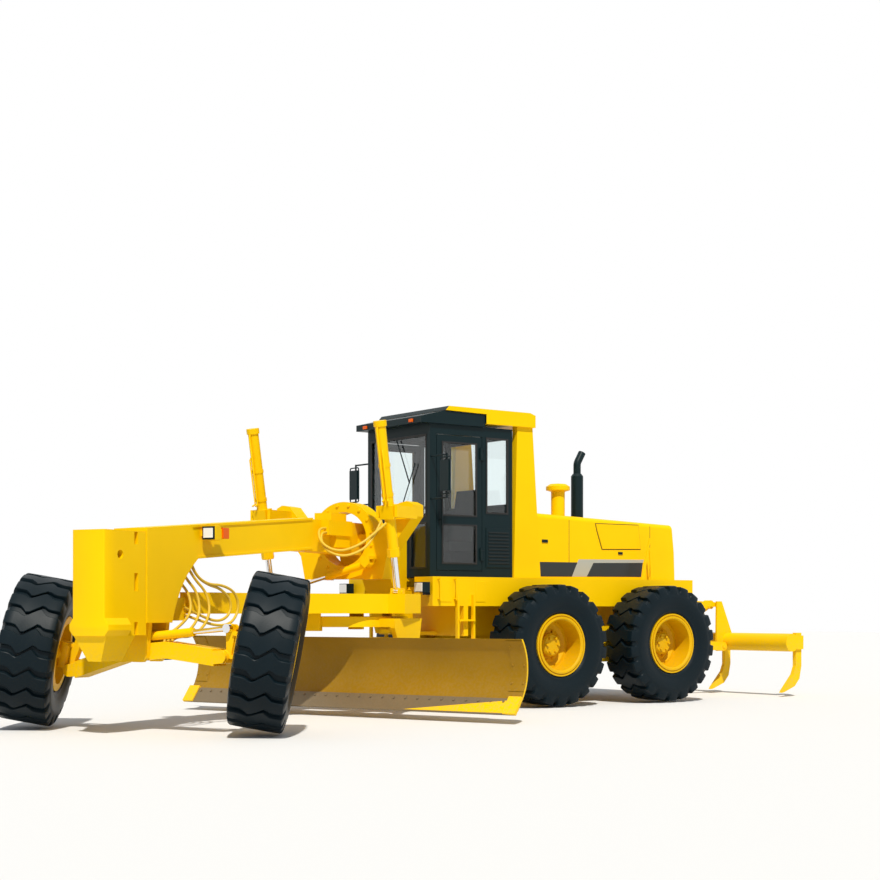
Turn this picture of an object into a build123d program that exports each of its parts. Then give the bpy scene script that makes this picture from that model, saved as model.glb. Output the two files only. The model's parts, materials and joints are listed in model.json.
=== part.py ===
from build123d import *
import math
import os

# Articulated motor grader, millimetres and degrees.
# +X is the way the rear frame faces, +Y is to its left, +Z is up.
# The origin lies on the ground under the middle of the tandem.

os.makedirs("parts", exist_ok=True)

# ---- driving dimensions ----
running_gap = 0.3           # pins, bores and seated faces of pieces that move or bolt on
clear = 8                   # between moving pieces that do not touch

hinge_x = 2442              # articulation pin ahead of the tandem centre
hinge_turn = 25             # front frame turned to the left
tandem_half = 985           # tandem centre to each rear axle
rear_track_half = 1280
front_axle_x = 5176         # front axle ahead of the articulation pin

tyre_radius = 780
tyre_width = 590
tread_width = 500
rim_radius = 345
rim_flange_radius = 400
rim_wall = 20

wheel_lean = 12             # tops of the front wheels to the left
wheel_steer = 30            # front wheels turned to the left
kingpin_span = 160          # lean pin to kingpin
hub_span = 280              # kingpin to wheel centre
lean_half = 980             # axle centre to each lean pin
axle_height = 800           # axle pin above the ground
axle_arch = 120             # lean pins below the axle pin
axle_pin_radius = 60
axle_half_x = 110
lean_arm = 290              # lean pin up to the lean bar pin
lean_foot_y = -350          # foot of the lean cylinder on the axle
lean_foot_z = 150
lean_cylinder_x = 60

rail_y = 330                # rear frame rails, centre
rail_width = 90
rail_low = 900
rail_high = 1280
deck_half = 950
deck_low = 1280
deck_top = 1650
deck_plate = 30
deck_rear = -1950
deck_front = 2600

hood_half = 600
hood_front = 1000
hood_rear = -1940
hood_top_front = 2545
hood_top_rear = 2440
hood_wall = 25

cab_rear = 1120
cab_front = 2460
cab_half = 700
cab_floor = deck_top + running_gap
cab_top = 3600
cab_wall = 50
door_front = 2360
door_rear = 1620
door_sill = 1730
door_head = 3470
door_gap = 8
glass = 8

beam_half = 200             # main beam half width
neck_half = 130
beam_front = 5460
beam_rear = 2380
beam_front_top = 2060
beam_rear_top = 2310
beam_depth = 370
leg_half = 210
leg_rear = 170

ring_x = 1250               # saddle ring
ring_depth = 260
ring_z = 2100
ring_outer = 457
ring_inner = 330
lift_y = 900                # lift cylinders
lift_x = 1800
lift_z = 2390
lift_eye_x = 1600           # lower eyes of the lift cylinders
lift_eye_z = 1440
lift_barrel_radius = 65
lift_rod_radius = 38
lift_barrel_up = 1050       # barrel above and below its trunnion
lift_barrel_down = 540

ball_x = 4700               # drawbar ball
ball_z = 1230
ball_radius = 75
drawbar_low = 1190
drawbar_high = 1420
crossbeam_half = 1130
crossbeam_rear = 1450
crossbeam_front = 1830
circle_x = 1550             # circle centre
circle_turn = -6            # blade turned, left end forward
circle_outer = 875
circle_inner = 745
circle_low = 1030
circle_high = 1150
arm_y = 1040                # circle arms
arm_thick = 60
pitch_x = 190               # blade pitch pin, from the circle centre
pitch_z = 330
blade_half = 2440
blade_shift = 500           # blade moved to the left
blade_x = 610               # tip of the cutting edge ahead of the circle centre
blade_low = 92
blade_top = 910
blade_bend = 520            # moldboard radius
blade_thick = 25
edge_lean = 38              # cutting edge leans back
edge_length = 230
edge_thick = 22
slide_face = 270            # back of the moldboard's two slide rails
slide_low = 320
slide_high = 740
slide_half = 2000

ripper_pin_radius = 28      # ripper: parallel arms and links behind the rear plate
ripper_root_x = -2150       # pins on the rear plate
ripper_arm_z = 740
ripper_arm_y = 300
ripper_link_z = 1360
ripper_link_y = 170
ripper_head_x = -3230       # pins on the ripper's head
ripper_head_low = 690
ripper_head_high = ripper_head_low + ripper_link_z - ripper_arm_z
ripper_beam_x = -3430
ripper_beam_z = 760
ripper_beam_radius = 130
ripper_eye_x = ripper_root_x - 60       # eye of the cylinder's rod
ripper_eye_z = ripper_arm_z + 60
ripper_eye_half = 40
ripper_rod_radius = 35
shank_pitch = 1400
shank_width = 60
ripper_beam_half = shank_pitch + 80

# ---- frames of the groups ----


def moved(frame, at, turn=(0, 0, 0)):
    """A frame set at a point of another frame and turned about its axes."""
    return Plane(frame.location * Location(at, turn))


def side(frame, y=0):
    """The upright lengthwise plane of a frame, x along and z up."""
    return Plane(frame.location * Location((0, y, 0)) * Plane.XZ.location)


def across(frame, x=0):
    """The upright crosswise plane of a frame, y along and z up."""
    return Plane(frame.location * Location((x, 0, 0)) * Plane.YZ.location)


def level(frame, z=0):
    """The level plane of a frame at a height."""
    return Plane(frame.location * Location((0, 0, z)))


rear = Plane.XY
front = moved(rear, (hinge_x, 0, 0), (0, 0, hinge_turn))
circle_frame = moved(front, (circle_x, 0, 0), (0, 0, circle_turn))

# The wheels lean about the front frame's length, and the axle tips until both
# wheels stand on the ground.
hub_out = kingpin_span + hub_span * math.cos(math.radians(wheel_steer))
lean_sine = math.sin(math.radians(wheel_lean))
lean_cosine = math.cos(math.radians(wheel_lean))
axle_tip = math.degrees(math.asin(hub_out * lean_sine / lean_half))
camber_sine = lean_sine * math.cos(math.radians(wheel_steer))
camber_cosine = math.sqrt(1 - camber_sine**2)
front_hub_z = tyre_radius * camber_cosine + tread_width / 2 * camber_sine
lean_pin_z = axle_height - axle_arch * math.cos(math.radians(axle_tip))
hub_rise = (front_hub_z - lean_pin_z) / lean_cosine

axle_frame = moved(front, (front_axle_x, 0, axle_height), (axle_tip, 0, 0))


def yoke_frame(hand):
    """Lean pin of one front wheel: hand is 1 on the left and -1 on the right."""
    at = (0, hand * lean_half, -axle_arch)
    return moved(axle_frame, at, (-wheel_lean - axle_tip, 0, 0))


def knuckle_frame(hand):
    """Kingpin of one front wheel, turned with the steering."""
    return moved(yoke_frame(hand), (0, hand * kingpin_span, hub_rise), (0, 0, wheel_steer))


def wheel_frame(hand):
    """Centre of one front wheel with z along its axle, outwards."""
    return moved(knuckle_frame(hand), (0, hand * hub_span, 0), (-hand * 90, 0, 0))


def rear_wheel_frame(hand, x):
    """Centre of one rear wheel with z along its axle, outwards."""
    return moved(rear, (x, hand * rear_track_half, tyre_radius), (-hand * 90, 0, 0))


# ---- shapes that many pieces share ----


def slab(plane, points, low, high, radius=0):
    """A closed outline on a plane, extruded from low to high along its normal."""
    with BuildSketch(Plane(plane.location * Location((0, 0, low)))) as outline:
        with BuildLine():
            Polyline(*points, close=True)
        make_face()
        if radius:
            fillet(outline.vertices(), radius)
    extrude(outline.sketch, amount=high - low)


def cut_slab(plane, points, low, high, radius=0):
    """The same outline cut away."""
    with BuildSketch(Plane(plane.location * Location((0, 0, low)))) as outline:
        with BuildLine():
            Polyline(*points, close=True)
        make_face()
        if radius:
            fillet(outline.vertices(), radius)
    extrude(outline.sketch, amount=high - low, mode=Mode.SUBTRACT)


def block(frame, low, high, mode=Mode.ADD):
    """A box between two corners of a frame."""
    middle = [(a + b) / 2 for a, b in zip(low, high)]
    size = [b - a for a, b in zip(low, high)]
    with Locations(frame.location * Location(middle)):
        Box(*size, mode=mode)


def bar(frame, start, end, radius, mode=Mode.ADD):
    """A round bar between two points of a frame."""
    a = frame.from_local_coords(Vector(*start))
    b = frame.from_local_coords(Vector(*end))
    with BuildSketch(Plane(origin=a, z_dir=b - a)) as section:
        Circle(radius)
    extrude(section.sketch, amount=(b - a).length, mode=mode)


def turned(frame, points, mode=Mode.ADD):
    """A profile of (radius, height) points revolved about a frame's z axis."""
    with BuildSketch(Plane(frame.location * Plane.XZ.location)) as profile:
        with BuildLine():
            Polyline(*points, close=True)
        make_face()
    revolve(profile.sketch, axis=Axis(frame.origin, frame.z_dir), mode=mode)


# ---- wheels ----
bead = tyre_width / 2 - 65
shoulder = tread_width / 2
disc_at = 40
disc_thick = 30
hub_radius = 150
bore_radius = 80


def tyre_profile():
    """Bead, sidewall, shoulder and tread of a tyre, out to the lug tips."""
    half = [
        (rim_radius, bead),
        (rim_flange_radius, bead),
        (480, tyre_width / 2 - 18),
        (600, tyre_width / 2),
        (690, tyre_width / 2 - 12),
        (tyre_radius, shoulder),
    ]
    return half + [(r, -a) for r, a in reversed(half)]


def rim_barrel(wheel):
    """Drop-centre rim with two flanges, its disc set off the middle, and the hub."""
    outside = rim_radius - running_gap
    edge = bead + running_gap
    turned(wheel, [(outside - rim_wall, -edge - 25), (rim_flange_radius, -edge - 25),
                   (rim_flange_radius, -edge), (outside, -edge), (outside, edge),
                   (rim_flange_radius, edge), (rim_flange_radius, edge + 25),
                   (outside - rim_wall, edge + 25)])
    turned(wheel, [(bore_radius, disc_at), (outside - rim_wall, disc_at),
                   (outside - rim_wall, disc_at + disc_thick), (bore_radius, disc_at + disc_thick)])
    turned(wheel, [(0, disc_at), (hub_radius, disc_at), (hub_radius, disc_at + 110),
                   (hub_radius - 30, disc_at + 140), (0, disc_at + 140)])


wheels = {
    "rear_left_fore": rear_wheel_frame(1, tandem_half),
    "rear_left_aft": rear_wheel_frame(1, -tandem_half),
    "rear_right_fore": rear_wheel_frame(-1, tandem_half),
    "rear_right_aft": rear_wheel_frame(-1, -tandem_half),
    "front_left": wheel_frame(1),
    "front_right": wheel_frame(-1),
}
for wheel_name, wheel_at in wheels.items():
    with BuildPart() as tyre:
        turned(wheel_at, tyre_profile())
    tyre.part.label = f"tyre_{wheel_name}"
    export_step(tyre.part, f"parts/tyre_{wheel_name}.step")
    with BuildPart() as rim:
        rim_barrel(wheel_at)
    rim.part.label = f"rim_{wheel_name}"
    export_step(rim.part, f"parts/rim_{wheel_name}.step")

# ---- tandem: axle housing and the two chain cases ----
case_y = 800
case_width = 180
case_high = 1010
case_low = 530
case_end = 240
with BuildPart() as tandem:
    for hand in (1, -1):
        case_plane = side(rear, hand * case_y)
        with BuildSketch(case_plane) as case_outline:
            SlotOverall(2 * (tandem_half + case_end), case_high - case_low)
        extrude(case_outline.sketch.moved(Location((0, 0, (case_high + case_low) / 2))),
                amount=case_width / 2, both=True)
        for x in (tandem_half, -tandem_half):
            hub_face = rear_track_half + disc_at - running_gap
            bar(rear, (x, hand * case_y, tyre_radius), (x, hand * hub_face, tyre_radius), 130)
    bar(rear, (0, -case_y, tyre_radius), (0, case_y, tyre_radius), 118)
    bar(rear, (0, -270, tyre_radius), (0, 270, tyre_radius), 190)
    block(rear, (-260, -rail_y - rail_width / 2, tyre_radius),
          (260, rail_y + rail_width / 2, rail_low - running_gap))
tandem.part.label = "tandem_axle"
export_step(tandem.part, "parts/tandem_axle.step")

# ---- rear frame: rails, deck boxes, hinge plates, rear plate ----
# ripper pins on the rear plate: y of the ear, x, z
ripper_ears = [
    (ripper_arm_y + 60, ripper_root_x, ripper_arm_z),
    (ripper_link_y + 60, ripper_root_x, ripper_link_z),
]
rung_half = 125
ladder_x = 2100
handle_places = (2265, 2520)
handle_half = deck_half + 55
hinge_pin_radius = 50
ear_radius = 140
lug_low = (960, 1040)       # lower lug of the front frame, bottom and top
lug_high = (1400, 1480)     # upper lug
ear_thick = 40
hinge_reach = 175           # the front frame clears the ears out to here
with BuildPart() as rear_frame:
    for hand in (1, -1):
        y = hand * rail_y
        block(rear, (deck_rear, y - rail_width / 2, rail_low),
              (hinge_x - 330, y + rail_width / 2, rail_high + 200))
        outer = sorted((hand * deck_half, hand * (deck_half - deck_plate)))
        block(rear, (deck_rear, outer[0], deck_low), (hinge_x - 400, outer[1], deck_top))
        box_y = sorted((hand * 560, hand * deck_half))
        block(rear, (hinge_x - 500, box_y[0], deck_low), (deck_front, box_y[1], deck_top))
    block(rear, (deck_rear, -deck_half, deck_top - deck_plate), (hinge_x - 330, deck_half, deck_top))
    block(rear, (deck_rear, -deck_half, deck_low), (deck_rear + deck_plate, deck_half, deck_top))
    for x in (-1500, -560, 560, 1500):
        block(rear, (x, -deck_half, rail_high), (x + deck_plate, deck_half, deck_top))
    block(rear, (hinge_x - 400, -deck_half, rail_low), (hinge_x - 330, deck_half, deck_top))
    for low in (lug_low[0] - clear - ear_thick, lug_high[1] + clear):
        ear = [(hinge_x - 340, -375), (hinge_x - 340, 375), (hinge_x + 60, 130), (hinge_x + 60, -130)]
        slab(level(rear, low), ear, 0, ear_thick)
        with BuildSketch(level(rear, low)) as ear_nose:
            with Locations((hinge_x, 0)):
                Circle(ear_radius)
        extrude(ear_nose.sketch, amount=ear_thick)
    for low, high in ((lug_low[0] - clear - ear_thick, lug_low[1] + clear),
                      (lug_high[0] - clear, lug_high[1] + clear + ear_thick)):
        bar(rear, (hinge_x, 0, low), (hinge_x, 0, high), hinge_pin_radius)
    # rear plate with the ears of the ripper's arm, link and cylinder
    block(rear, (deck_rear - 60, -480, 560), (deck_rear, 480, deck_top - deck_plate))
    for hand in (1, -1):
        for pin_y, pin_x, pin_z in ripper_ears:
            y = hand * pin_y
            ear = [(deck_rear - 50, pin_z - 120), (deck_rear - 50, pin_z + 120),
                   (pin_x - 30, pin_z + 60), (pin_x - 60, pin_z), (pin_x - 30, pin_z - 60)]
            slab(side(rear, y), ear, -20, 20)
            bar(rear, (pin_x, y - hand * 20, pin_z), (pin_x, y - hand * 90, pin_z), ripper_pin_radius)
        # cheeks that hold the eye of the ripper's cylinder
        cheek = [(deck_rear - 50, ripper_eye_z - 90), (deck_rear - 50, ripper_eye_z + 90),
                 (ripper_eye_x - 30, ripper_eye_z + 55), (ripper_eye_x - 50, ripper_eye_z),
                 (ripper_eye_x - 30, ripper_eye_z - 55)]
        low = min(hand * (ripper_eye_half + running_gap), hand * (ripper_eye_half + 20))
        slab(side(rear), cheek, low, low + 20 - running_gap)
    # ladders and grab handles
    for hand in (1, -1):
        y = hand * (deck_half + 20)
        for x in (ladder_x - rung_half, ladder_x + rung_half):
            block(rear, (x - 15, min(y - 25, y + 25), 560), (x + 15, max(y - 25, y + 25), 1420))
        for z in (600, 850, 1100):
            block(rear, (ladder_x - rung_half, min(y - 50, y + 50), z - 12),
                  (ladder_x + rung_half, max(y - 50, y + 50), z + 12))
        for x in handle_places:
            for z in (1370, 1620):
                bar(rear, (x, hand * (deck_half - 5), z), (x, hand * handle_half, z), 9)
            bar(rear, (x, hand * handle_half, 1350), (x, hand * handle_half, 1640), 11)
rear_frame.part.label = "rear_frame"
export_step(rear_frame.part, "parts/rear_frame.step")

# ---- engine, hood and what stands on it ----
hood_side = [(hood_rear, deck_top), (hood_front, deck_top), (hood_front, hood_top_front),
             (hood_rear + 60, hood_top_rear), (hood_rear + 15, 2050)]
grille_half = 440
grille_low = 1760
grille_high = 2330
slat_count = 12
with BuildPart() as hood:
    slab(side(rear), hood_side, -hood_half, hood_half)
    fillet(hood.edges().filter_by(Axis.X, tolerance=3).group_by(Axis.Z)[-1], 70)
    inside = [(hood_rear + 90, deck_top - 10), (hood_front - hood_wall, deck_top - 10),
              (hood_front - hood_wall, hood_top_front - 60), (hood_rear + 90, hood_top_rear - 60)]
    cut_slab(side(rear), inside, -hood_half + hood_wall, hood_half - hood_wall)
    block(rear, (hood_rear - 100, -grille_half, grille_low), (hood_rear + 120, grille_half, grille_high),
          mode=Mode.SUBTRACT)
    # radiator grille: slats across the opening, held at both ends
    for i in range(slat_count):
        z = grille_low + (i + 0.5) * (grille_high - grille_low) / slat_count
        block(rear, (hood_rear + 40, -grille_half, z - 8), (hood_rear + 80, grille_half, z + 8))
hood.part.label = "hood"
export_step(hood.part, "parts/hood.step")

with BuildPart() as engine:
    block(rear, (-1500, -420, deck_top), (300, 420, 2350))
engine.part.label = "engine"
export_step(engine.part, "parts/engine.step")

stack_x = -420
stack_y = 230
seat_rise = 3.7             # level feet on the sloping hood
cleaner_x = -70


def hood_top(x):
    """Height of the hood's top face at x."""
    fall = (hood_top_front - hood_top_rear) / (hood_front - hood_rear - 60)
    return hood_top_front - fall * (hood_front - x)


with BuildPart() as stacks:
    stack = moved(rear, (stack_x, stack_y, 0))
    foot = hood_top(stack_x)
    turned(stack, [(0, foot + seat_rise), (85, foot + seat_rise), (85, 3090), (60, 3125), (0, 3125)])
    with BuildLine() as stack_path:
        FilletPolyline((stack_x, stack_y, 3120), (stack_x, stack_y, 3270), (stack_x - 90, stack_y, 3420),
                       radius=120)
    with BuildSketch(Plane(origin=(stack_x, stack_y, 3120), z_dir=(0, 0, 1))) as stack_end:
        Circle(52)
    sweep(stack_end.sketch, path=stack_path.line)
    cleaner = moved(rear, (cleaner_x, stack_y, 0))
    foot = hood_top(cleaner_x)
    turned(cleaner, [(0, foot + seat_rise), (95, foot + seat_rise), (95, 2860), (165, 2880), (165, 2930), (110, 2965),
                     (0, 2975)])
stacks.part.label = "stacks"
export_step(stacks.part, "parts/stacks.step")

# ---- cab: hollow shell with its windows cut, doors, glass ----
inner_half = cab_half - cab_wall
door_hinge_x = door_rear + 30
door_hinge_y = cab_half + 13
door_hinge_zs = (1950, 3250)
hinge_half = 50
quarter_front = door_rear - 60
quarter_rear = cab_rear + 70
quarter_low = 2480
with BuildPart() as cab_shell:
    block(rear, (cab_rear, -cab_half, cab_floor), (cab_front, cab_half, cab_top))
    block(rear, (cab_rear + cab_wall, -inner_half, cab_floor + cab_wall),
          (cab_front - cab_wall, inner_half, cab_top - cab_wall), mode=Mode.SUBTRACT)
    # windscreen, the two low front windows, rear window
    pane_half = inner_half - 20
    block(rear, (cab_front - 100, -pane_half, 2420), (cab_front + 10, pane_half, door_head),
          mode=Mode.SUBTRACT)
    for hand in (1, -1):
        y = sorted((hand * 260, hand * pane_half))
        block(rear, (cab_front - 100, y[0], 1760), (cab_front + 10, y[1], 2350), mode=Mode.SUBTRACT)
    block(rear, (cab_rear - 10, -pane_half, 2620), (cab_rear + 100, pane_half, door_head),
          mode=Mode.SUBTRACT)
    # door openings and rear quarter windows, through both sides
    block(rear, (door_rear, -cab_half - 10, door_sill), (door_front, cab_half + 10, door_head),
          mode=Mode.SUBTRACT)
    block(rear, (quarter_rear, -cab_half - 10, quarter_low), (quarter_front, cab_half + 10, door_head),
          mode=Mode.SUBTRACT)
    # halves of the door hinges above and below the doors' own
    for hand in (1, -1):
        for z in door_hinge_zs:
            for low in (z - hinge_half - running_gap - 30, z + hinge_half + running_gap):
                y = sorted((hand * (cab_half - 10), hand * door_hinge_y))
                block(rear, (door_rear - 30, y[0], low), (door_rear - 5, y[1], low + 30))
                y = sorted((hand * (door_hinge_y - 9), hand * door_hinge_y))
                block(rear, (door_rear - 30, y[0], low), (door_hinge_x, y[1], low + 30))
                bar(rear, (door_hinge_x, hand * door_hinge_y, low), (door_hinge_x, hand * door_hinge_y, low + 30), 12)
cab_shell.part.label = "cab_shell"
export_step(cab_shell.part, "parts/cab_shell.step")

# each pane stands in the middle of its wall: x from, x to, y from, y to, z from, z to
mid_front = cab_front - cab_wall / 2
mid_rear = cab_rear + cab_wall / 2
mid_side = cab_half - cab_wall / 2
panes = [
    (mid_front, mid_front + glass, -pane_half, pane_half, 2420, door_head),
    (mid_front, mid_front + glass, 260, pane_half, 1760, 2350),
    (mid_front, mid_front + glass, -pane_half, -260, 1760, 2350),
    (mid_rear, mid_rear + glass, -pane_half, pane_half, 2620, door_head),
    (quarter_rear, quarter_front, mid_side, mid_side + glass, quarter_low, door_head),
    (quarter_rear, quarter_front, -mid_side - glass, -mid_side, quarter_low, door_head),
]
with BuildPart() as cab_glass:
    for x0, x1, y0, y1, z0, z1 in panes:
        block(rear, (x0, y0, z0), (x1, y1, z1))
cab_glass.part.label = "cab_glass"
export_step(cab_glass.part, "parts/cab_glass.step")

for hand, door_name in ((1, "left"), (-1, "right")):
    frame_y = sorted((hand * (cab_half - 40), hand * cab_half))
    low_x = door_rear + door_gap
    high_x = door_front - door_gap
    low_z = door_sill + door_gap
    high_z = door_head - door_gap
    with BuildPart() as door:
        block(rear, (low_x, frame_y[0], low_z), (high_x, frame_y[1], high_z))
        for z0, z1 in ((low_z + 80, 2330), (2430, high_z - 80)):
            block(rear, (low_x + 80, frame_y[0] - 5, z0), (high_x - 80, frame_y[1] + 5, z1),
                  mode=Mode.SUBTRACT)
        for z in door_hinge_zs:
            bar(rear, (door_hinge_x, hand * door_hinge_y, z - hinge_half),
                (door_hinge_x, hand * door_hinge_y, z + hinge_half), 16)
        bar(rear, (high_x - 50, hand * (cab_half - 10), 2380), (high_x - 50, hand * (cab_half + 40), 2380), 10)
        bar(rear, (high_x - 50, hand * (cab_half + 40), 2300), (high_x - 50, hand * (cab_half + 40), 2480),
            12)
    door.part.label = f"door_{door_name}"
    export_step(door.part, f"parts/door_{door_name}.step")
    with BuildPart() as door_glass:
        pane_y = sorted((hand * (cab_half - 24), hand * (cab_half - 16)))
        for z0, z1 in ((low_z + 80, 2330), (2430, high_z - 80)):
            block(rear, (low_x + 80, pane_y[0], z0), (high_x - 80, pane_y[1], z1))
    door_glass.part.label = f"door_glass_{door_name}"
    export_step(door_glass.part, f"parts/door_glass_{door_name}.step")

# ---- roof: dark visor in front, plate and two rear posts behind ----
visor_side = [(1600, cab_top), (2620, cab_top), (2620, 3680), (2250, 3770), (1600, 3760)]
with BuildPart() as visor:
    slab(side(rear), visor_side, -cab_half - 40, cab_half + 40)
visor.part.label = "roof_visor"
export_step(visor.part, "parts/roof_visor.step")

post_half = 620
with BuildPart() as rops:
    slab(side(rear), [(770, 3640), (1595, 3640), (1595, 3765), (2250, 3775), (2200, 3830), (860, 3830),
                      (770, 3800)], -cab_half - 60, cab_half + 60)
    for hand in (1, -1):
        y = sorted((-hand * post_half, -hand * (cab_half + 20)))
        post = [(650, deck_top), (1110, deck_top), (1050, 3640), (790, 3640)]
        slab(side(rear), post, y[0], y[1])
rops.part.label = "rops"
export_step(rops.part, "parts/rops.step")

# ---- seat and steering console ----
seat_x = 1560
floor = cab_floor + cab_wall
with BuildPart() as interior:
    block(rear, (seat_x - 180, -170, floor), (seat_x + 180, 170, floor + 300))
    block(rear, (seat_x - 240, -250, floor + 300), (seat_x + 260, 250, floor + 430))
    back = [(seat_x - 240, floor + 430), (seat_x - 120, floor + 430), (seat_x - 230, floor + 1130),
            (seat_x - 330, floor + 1130)]
    slab(side(rear), back, -240, 240)
    column = [(2150, floor), (2330, floor), (2200, floor + 800), (2110, floor + 780)]
    slab(side(rear), column, -150, 150)
    wheel_at = moved(rear, (2110, 0, floor + 830), (0, -25, 0))
    turned(wheel_at, [(190, -14), (222, -14), (222, 14), (190, 14)])
    turned(wheel_at, [(0, -130), (35, -130), (35, 10), (0, 10)])
    bar(wheel_at, (-205, 0, 0), (205, 0, 0), 10)
interior.part.label = "cab_interior"
export_step(interior.part, "parts/cab_interior.step")

# ---- mirrors on tube arms, both sides ----
with BuildPart() as mirrors:
    for hand in (1, -1):
        y = hand * (cab_half + 330)
        for z in (2640, 3180):
            bar(rear, (2435, hand * (cab_half + running_gap), z), (2435, y, z), 11)
        bar(rear, (2435, y, 2628), (2435, y, 3192), 12)
        face = sorted((y - 90, y + 90))
        block(rear, (2440, face[0], 2720), (2480, face[1], 3110))
mirrors.part.label = "mirrors"
export_step(mirrors.part, "parts/mirrors.step")

# ---- work lamps beside the deck front ----
with BuildPart() as work_lamps:
    for hand in (1, -1):
        y = hand * 860
        block(rear, (deck_front, min(y - 40, y + 40), 1420), (deck_front + 60, max(y - 40, y + 40), 1450))
        block(rear, (deck_front + 40, min(y - 90, y + 90), 1450), (deck_front + 150, max(y - 90, y + 90), 1580))
work_lamps.part.label = "work_lamps"
export_step(work_lamps.part, "parts/work_lamps.step")

# ---- ripper: arms, links, head with its beam and shanks, cylinder ----


def holed_link(frame, y, start, end, width, thick, bores):
    """A flat link between two (x, z) points, round at its ends, bored at each."""
    along = math.degrees(math.atan2(end[1] - start[1], end[0] - start[0]))
    length = math.dist(start, end)
    middle = ((start[0] + end[0]) / 2, y, (start[1] + end[1]) / 2)
    plane = Plane(frame.location * Location(middle) * Plane.XZ.location * Location((0, 0, 0), (0, 0, along)))
    with BuildSketch(plane) as outline:
        SlotCenterToCenter(length, width)
        for x, radius in ((-length / 2, bores[0]), (length / 2, bores[1])):
            if radius:
                with Locations((x, 0)):
                    Circle(radius, mode=Mode.SUBTRACT)
    extrude(outline.sketch, amount=thick / 2, both=True)


ripper_bore = ripper_pin_radius + running_gap
root_low = (ripper_root_x, ripper_arm_z)
root_high = (ripper_root_x, ripper_link_z)
head_low = (ripper_head_x, ripper_head_low)
head_high = (ripper_head_x, ripper_head_high)
with BuildPart() as ripper_arm:
    for hand in (1, -1):
        holed_link(rear, hand * ripper_arm_y, root_low, head_low, 130, 50, (ripper_bore, ripper_bore))
    bar(rear, (-2600, -ripper_arm_y, 718), (-2600, ripper_arm_y, 718), 55)
ripper_arm.part.label = "ripper_arm"
export_step(ripper_arm.part, "parts/ripper_arm.step")

with BuildPart() as ripper_link:
    for hand in (1, -1):
        holed_link(rear, hand * ripper_link_y, root_high, head_high, 70, 30, (ripper_bore, ripper_bore))
ripper_link.part.label = "ripper_link"
export_step(ripper_link.part, "parts/ripper_link.step")

shank_x = ripper_beam_x - 190
shank_ys = (-shank_pitch, 0, shank_pitch)
with BuildPart() as ripper_frame:
    bar(rear, (ripper_beam_x, -ripper_beam_half, ripper_beam_z),
        (ripper_beam_x, ripper_beam_half, ripper_beam_z), ripper_beam_radius)
    for hand in (1, -1):
        cheek = [(ripper_beam_x - 80, ripper_beam_z + 90), (ripper_beam_x + 60, ripper_head_low - 70),
                 (ripper_head_x + 50, ripper_head_low - 70), (ripper_head_x + 60, ripper_head_low + 60),
                 (ripper_head_x + 50, ripper_head_high + 50), (ripper_head_x - 50, ripper_head_high + 50)]
        slab(side(rear, hand * (ripper_link_y + 50)), cheek, -15, 15)
        pin_y = hand * (ripper_link_y + 50)
        bar(rear, (ripper_head_x, pin_y, ripper_head_low), (ripper_head_x, hand * 340, ripper_head_low),
            ripper_pin_radius)
        bar(rear, (ripper_head_x, pin_y, ripper_head_high), (ripper_head_x, 0, ripper_head_high),
            ripper_pin_radius)
    for y in shank_ys:
        block(rear, (shank_x - 70, y - 60, 660), (ripper_beam_x, y + 60, 860))
        shank = [(shank_x - 60, 900), (shank_x + 60, 900), (shank_x + 60, 420), (shank_x + 110, 300),
                 (shank_x + 330, 70), (shank_x + 350, 40), (shank_x + 300, 50), (shank_x + 80, 130),
                 (shank_x - 20, 240), (shank_x - 60, 420)]
        slab(side(rear, y), shank, -shank_width / 2, shank_width / 2)
ripper_frame.part.label = "ripper_frame"
export_step(ripper_frame.part, "parts/ripper_frame.step")

# cylinder: its barrel hangs on the head's upper pin, its rod reaches the low root
ripper_cap = (ripper_head_x, 0, ripper_head_high)
ripper_eye = (ripper_eye_x, 0, ripper_eye_z)
ripper_bore_start = 340     # leaves room for the rod when the ripper is down


def toward(start, end, distance):
    """The point at a distance from start on the way to end."""
    a = Vector(*start)
    return tuple(a + (Vector(*end) - a).normalized() * distance)


with BuildPart() as ripper_barrel:
    bar(rear, toward(ripper_cap, ripper_eye, 40), toward(ripper_cap, ripper_eye, 760), 62)
    bar(rear, (ripper_head_x, -60, ripper_head_high), (ripper_head_x, 60, ripper_head_high), 66)
    bar(rear, (ripper_head_x, -65, ripper_head_high), (ripper_head_x, 65, ripper_head_high),
        ripper_bore, mode=Mode.SUBTRACT)
    bar(rear, toward(ripper_cap, ripper_eye, ripper_bore_start), toward(ripper_cap, ripper_eye, 770),
        ripper_rod_radius + running_gap, mode=Mode.SUBTRACT)
ripper_barrel.part.label = "ripper_barrel"
export_step(ripper_barrel.part, "parts/ripper_barrel.step")

with BuildPart() as ripper_rod:
    bar(rear, toward(ripper_cap, ripper_eye, 520), toward(ripper_eye, ripper_cap, 10), ripper_rod_radius)
    bar(rear, (ripper_eye[0], -ripper_eye_half, ripper_eye[2]), (ripper_eye[0], ripper_eye_half, ripper_eye[2]),
        55)
ripper_rod.part.label = "ripper_rod"
export_step(ripper_rod.part, "parts/ripper_rod.step")

# ---- front frame: main beam, neck, leg and hinge lugs ----


def beam_top(x):
    """Height of the main beam's top at x."""
    rise = (beam_rear_top - beam_front_top) / (beam_front - beam_rear)
    return beam_front_top + rise * (beam_front - x)


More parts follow.
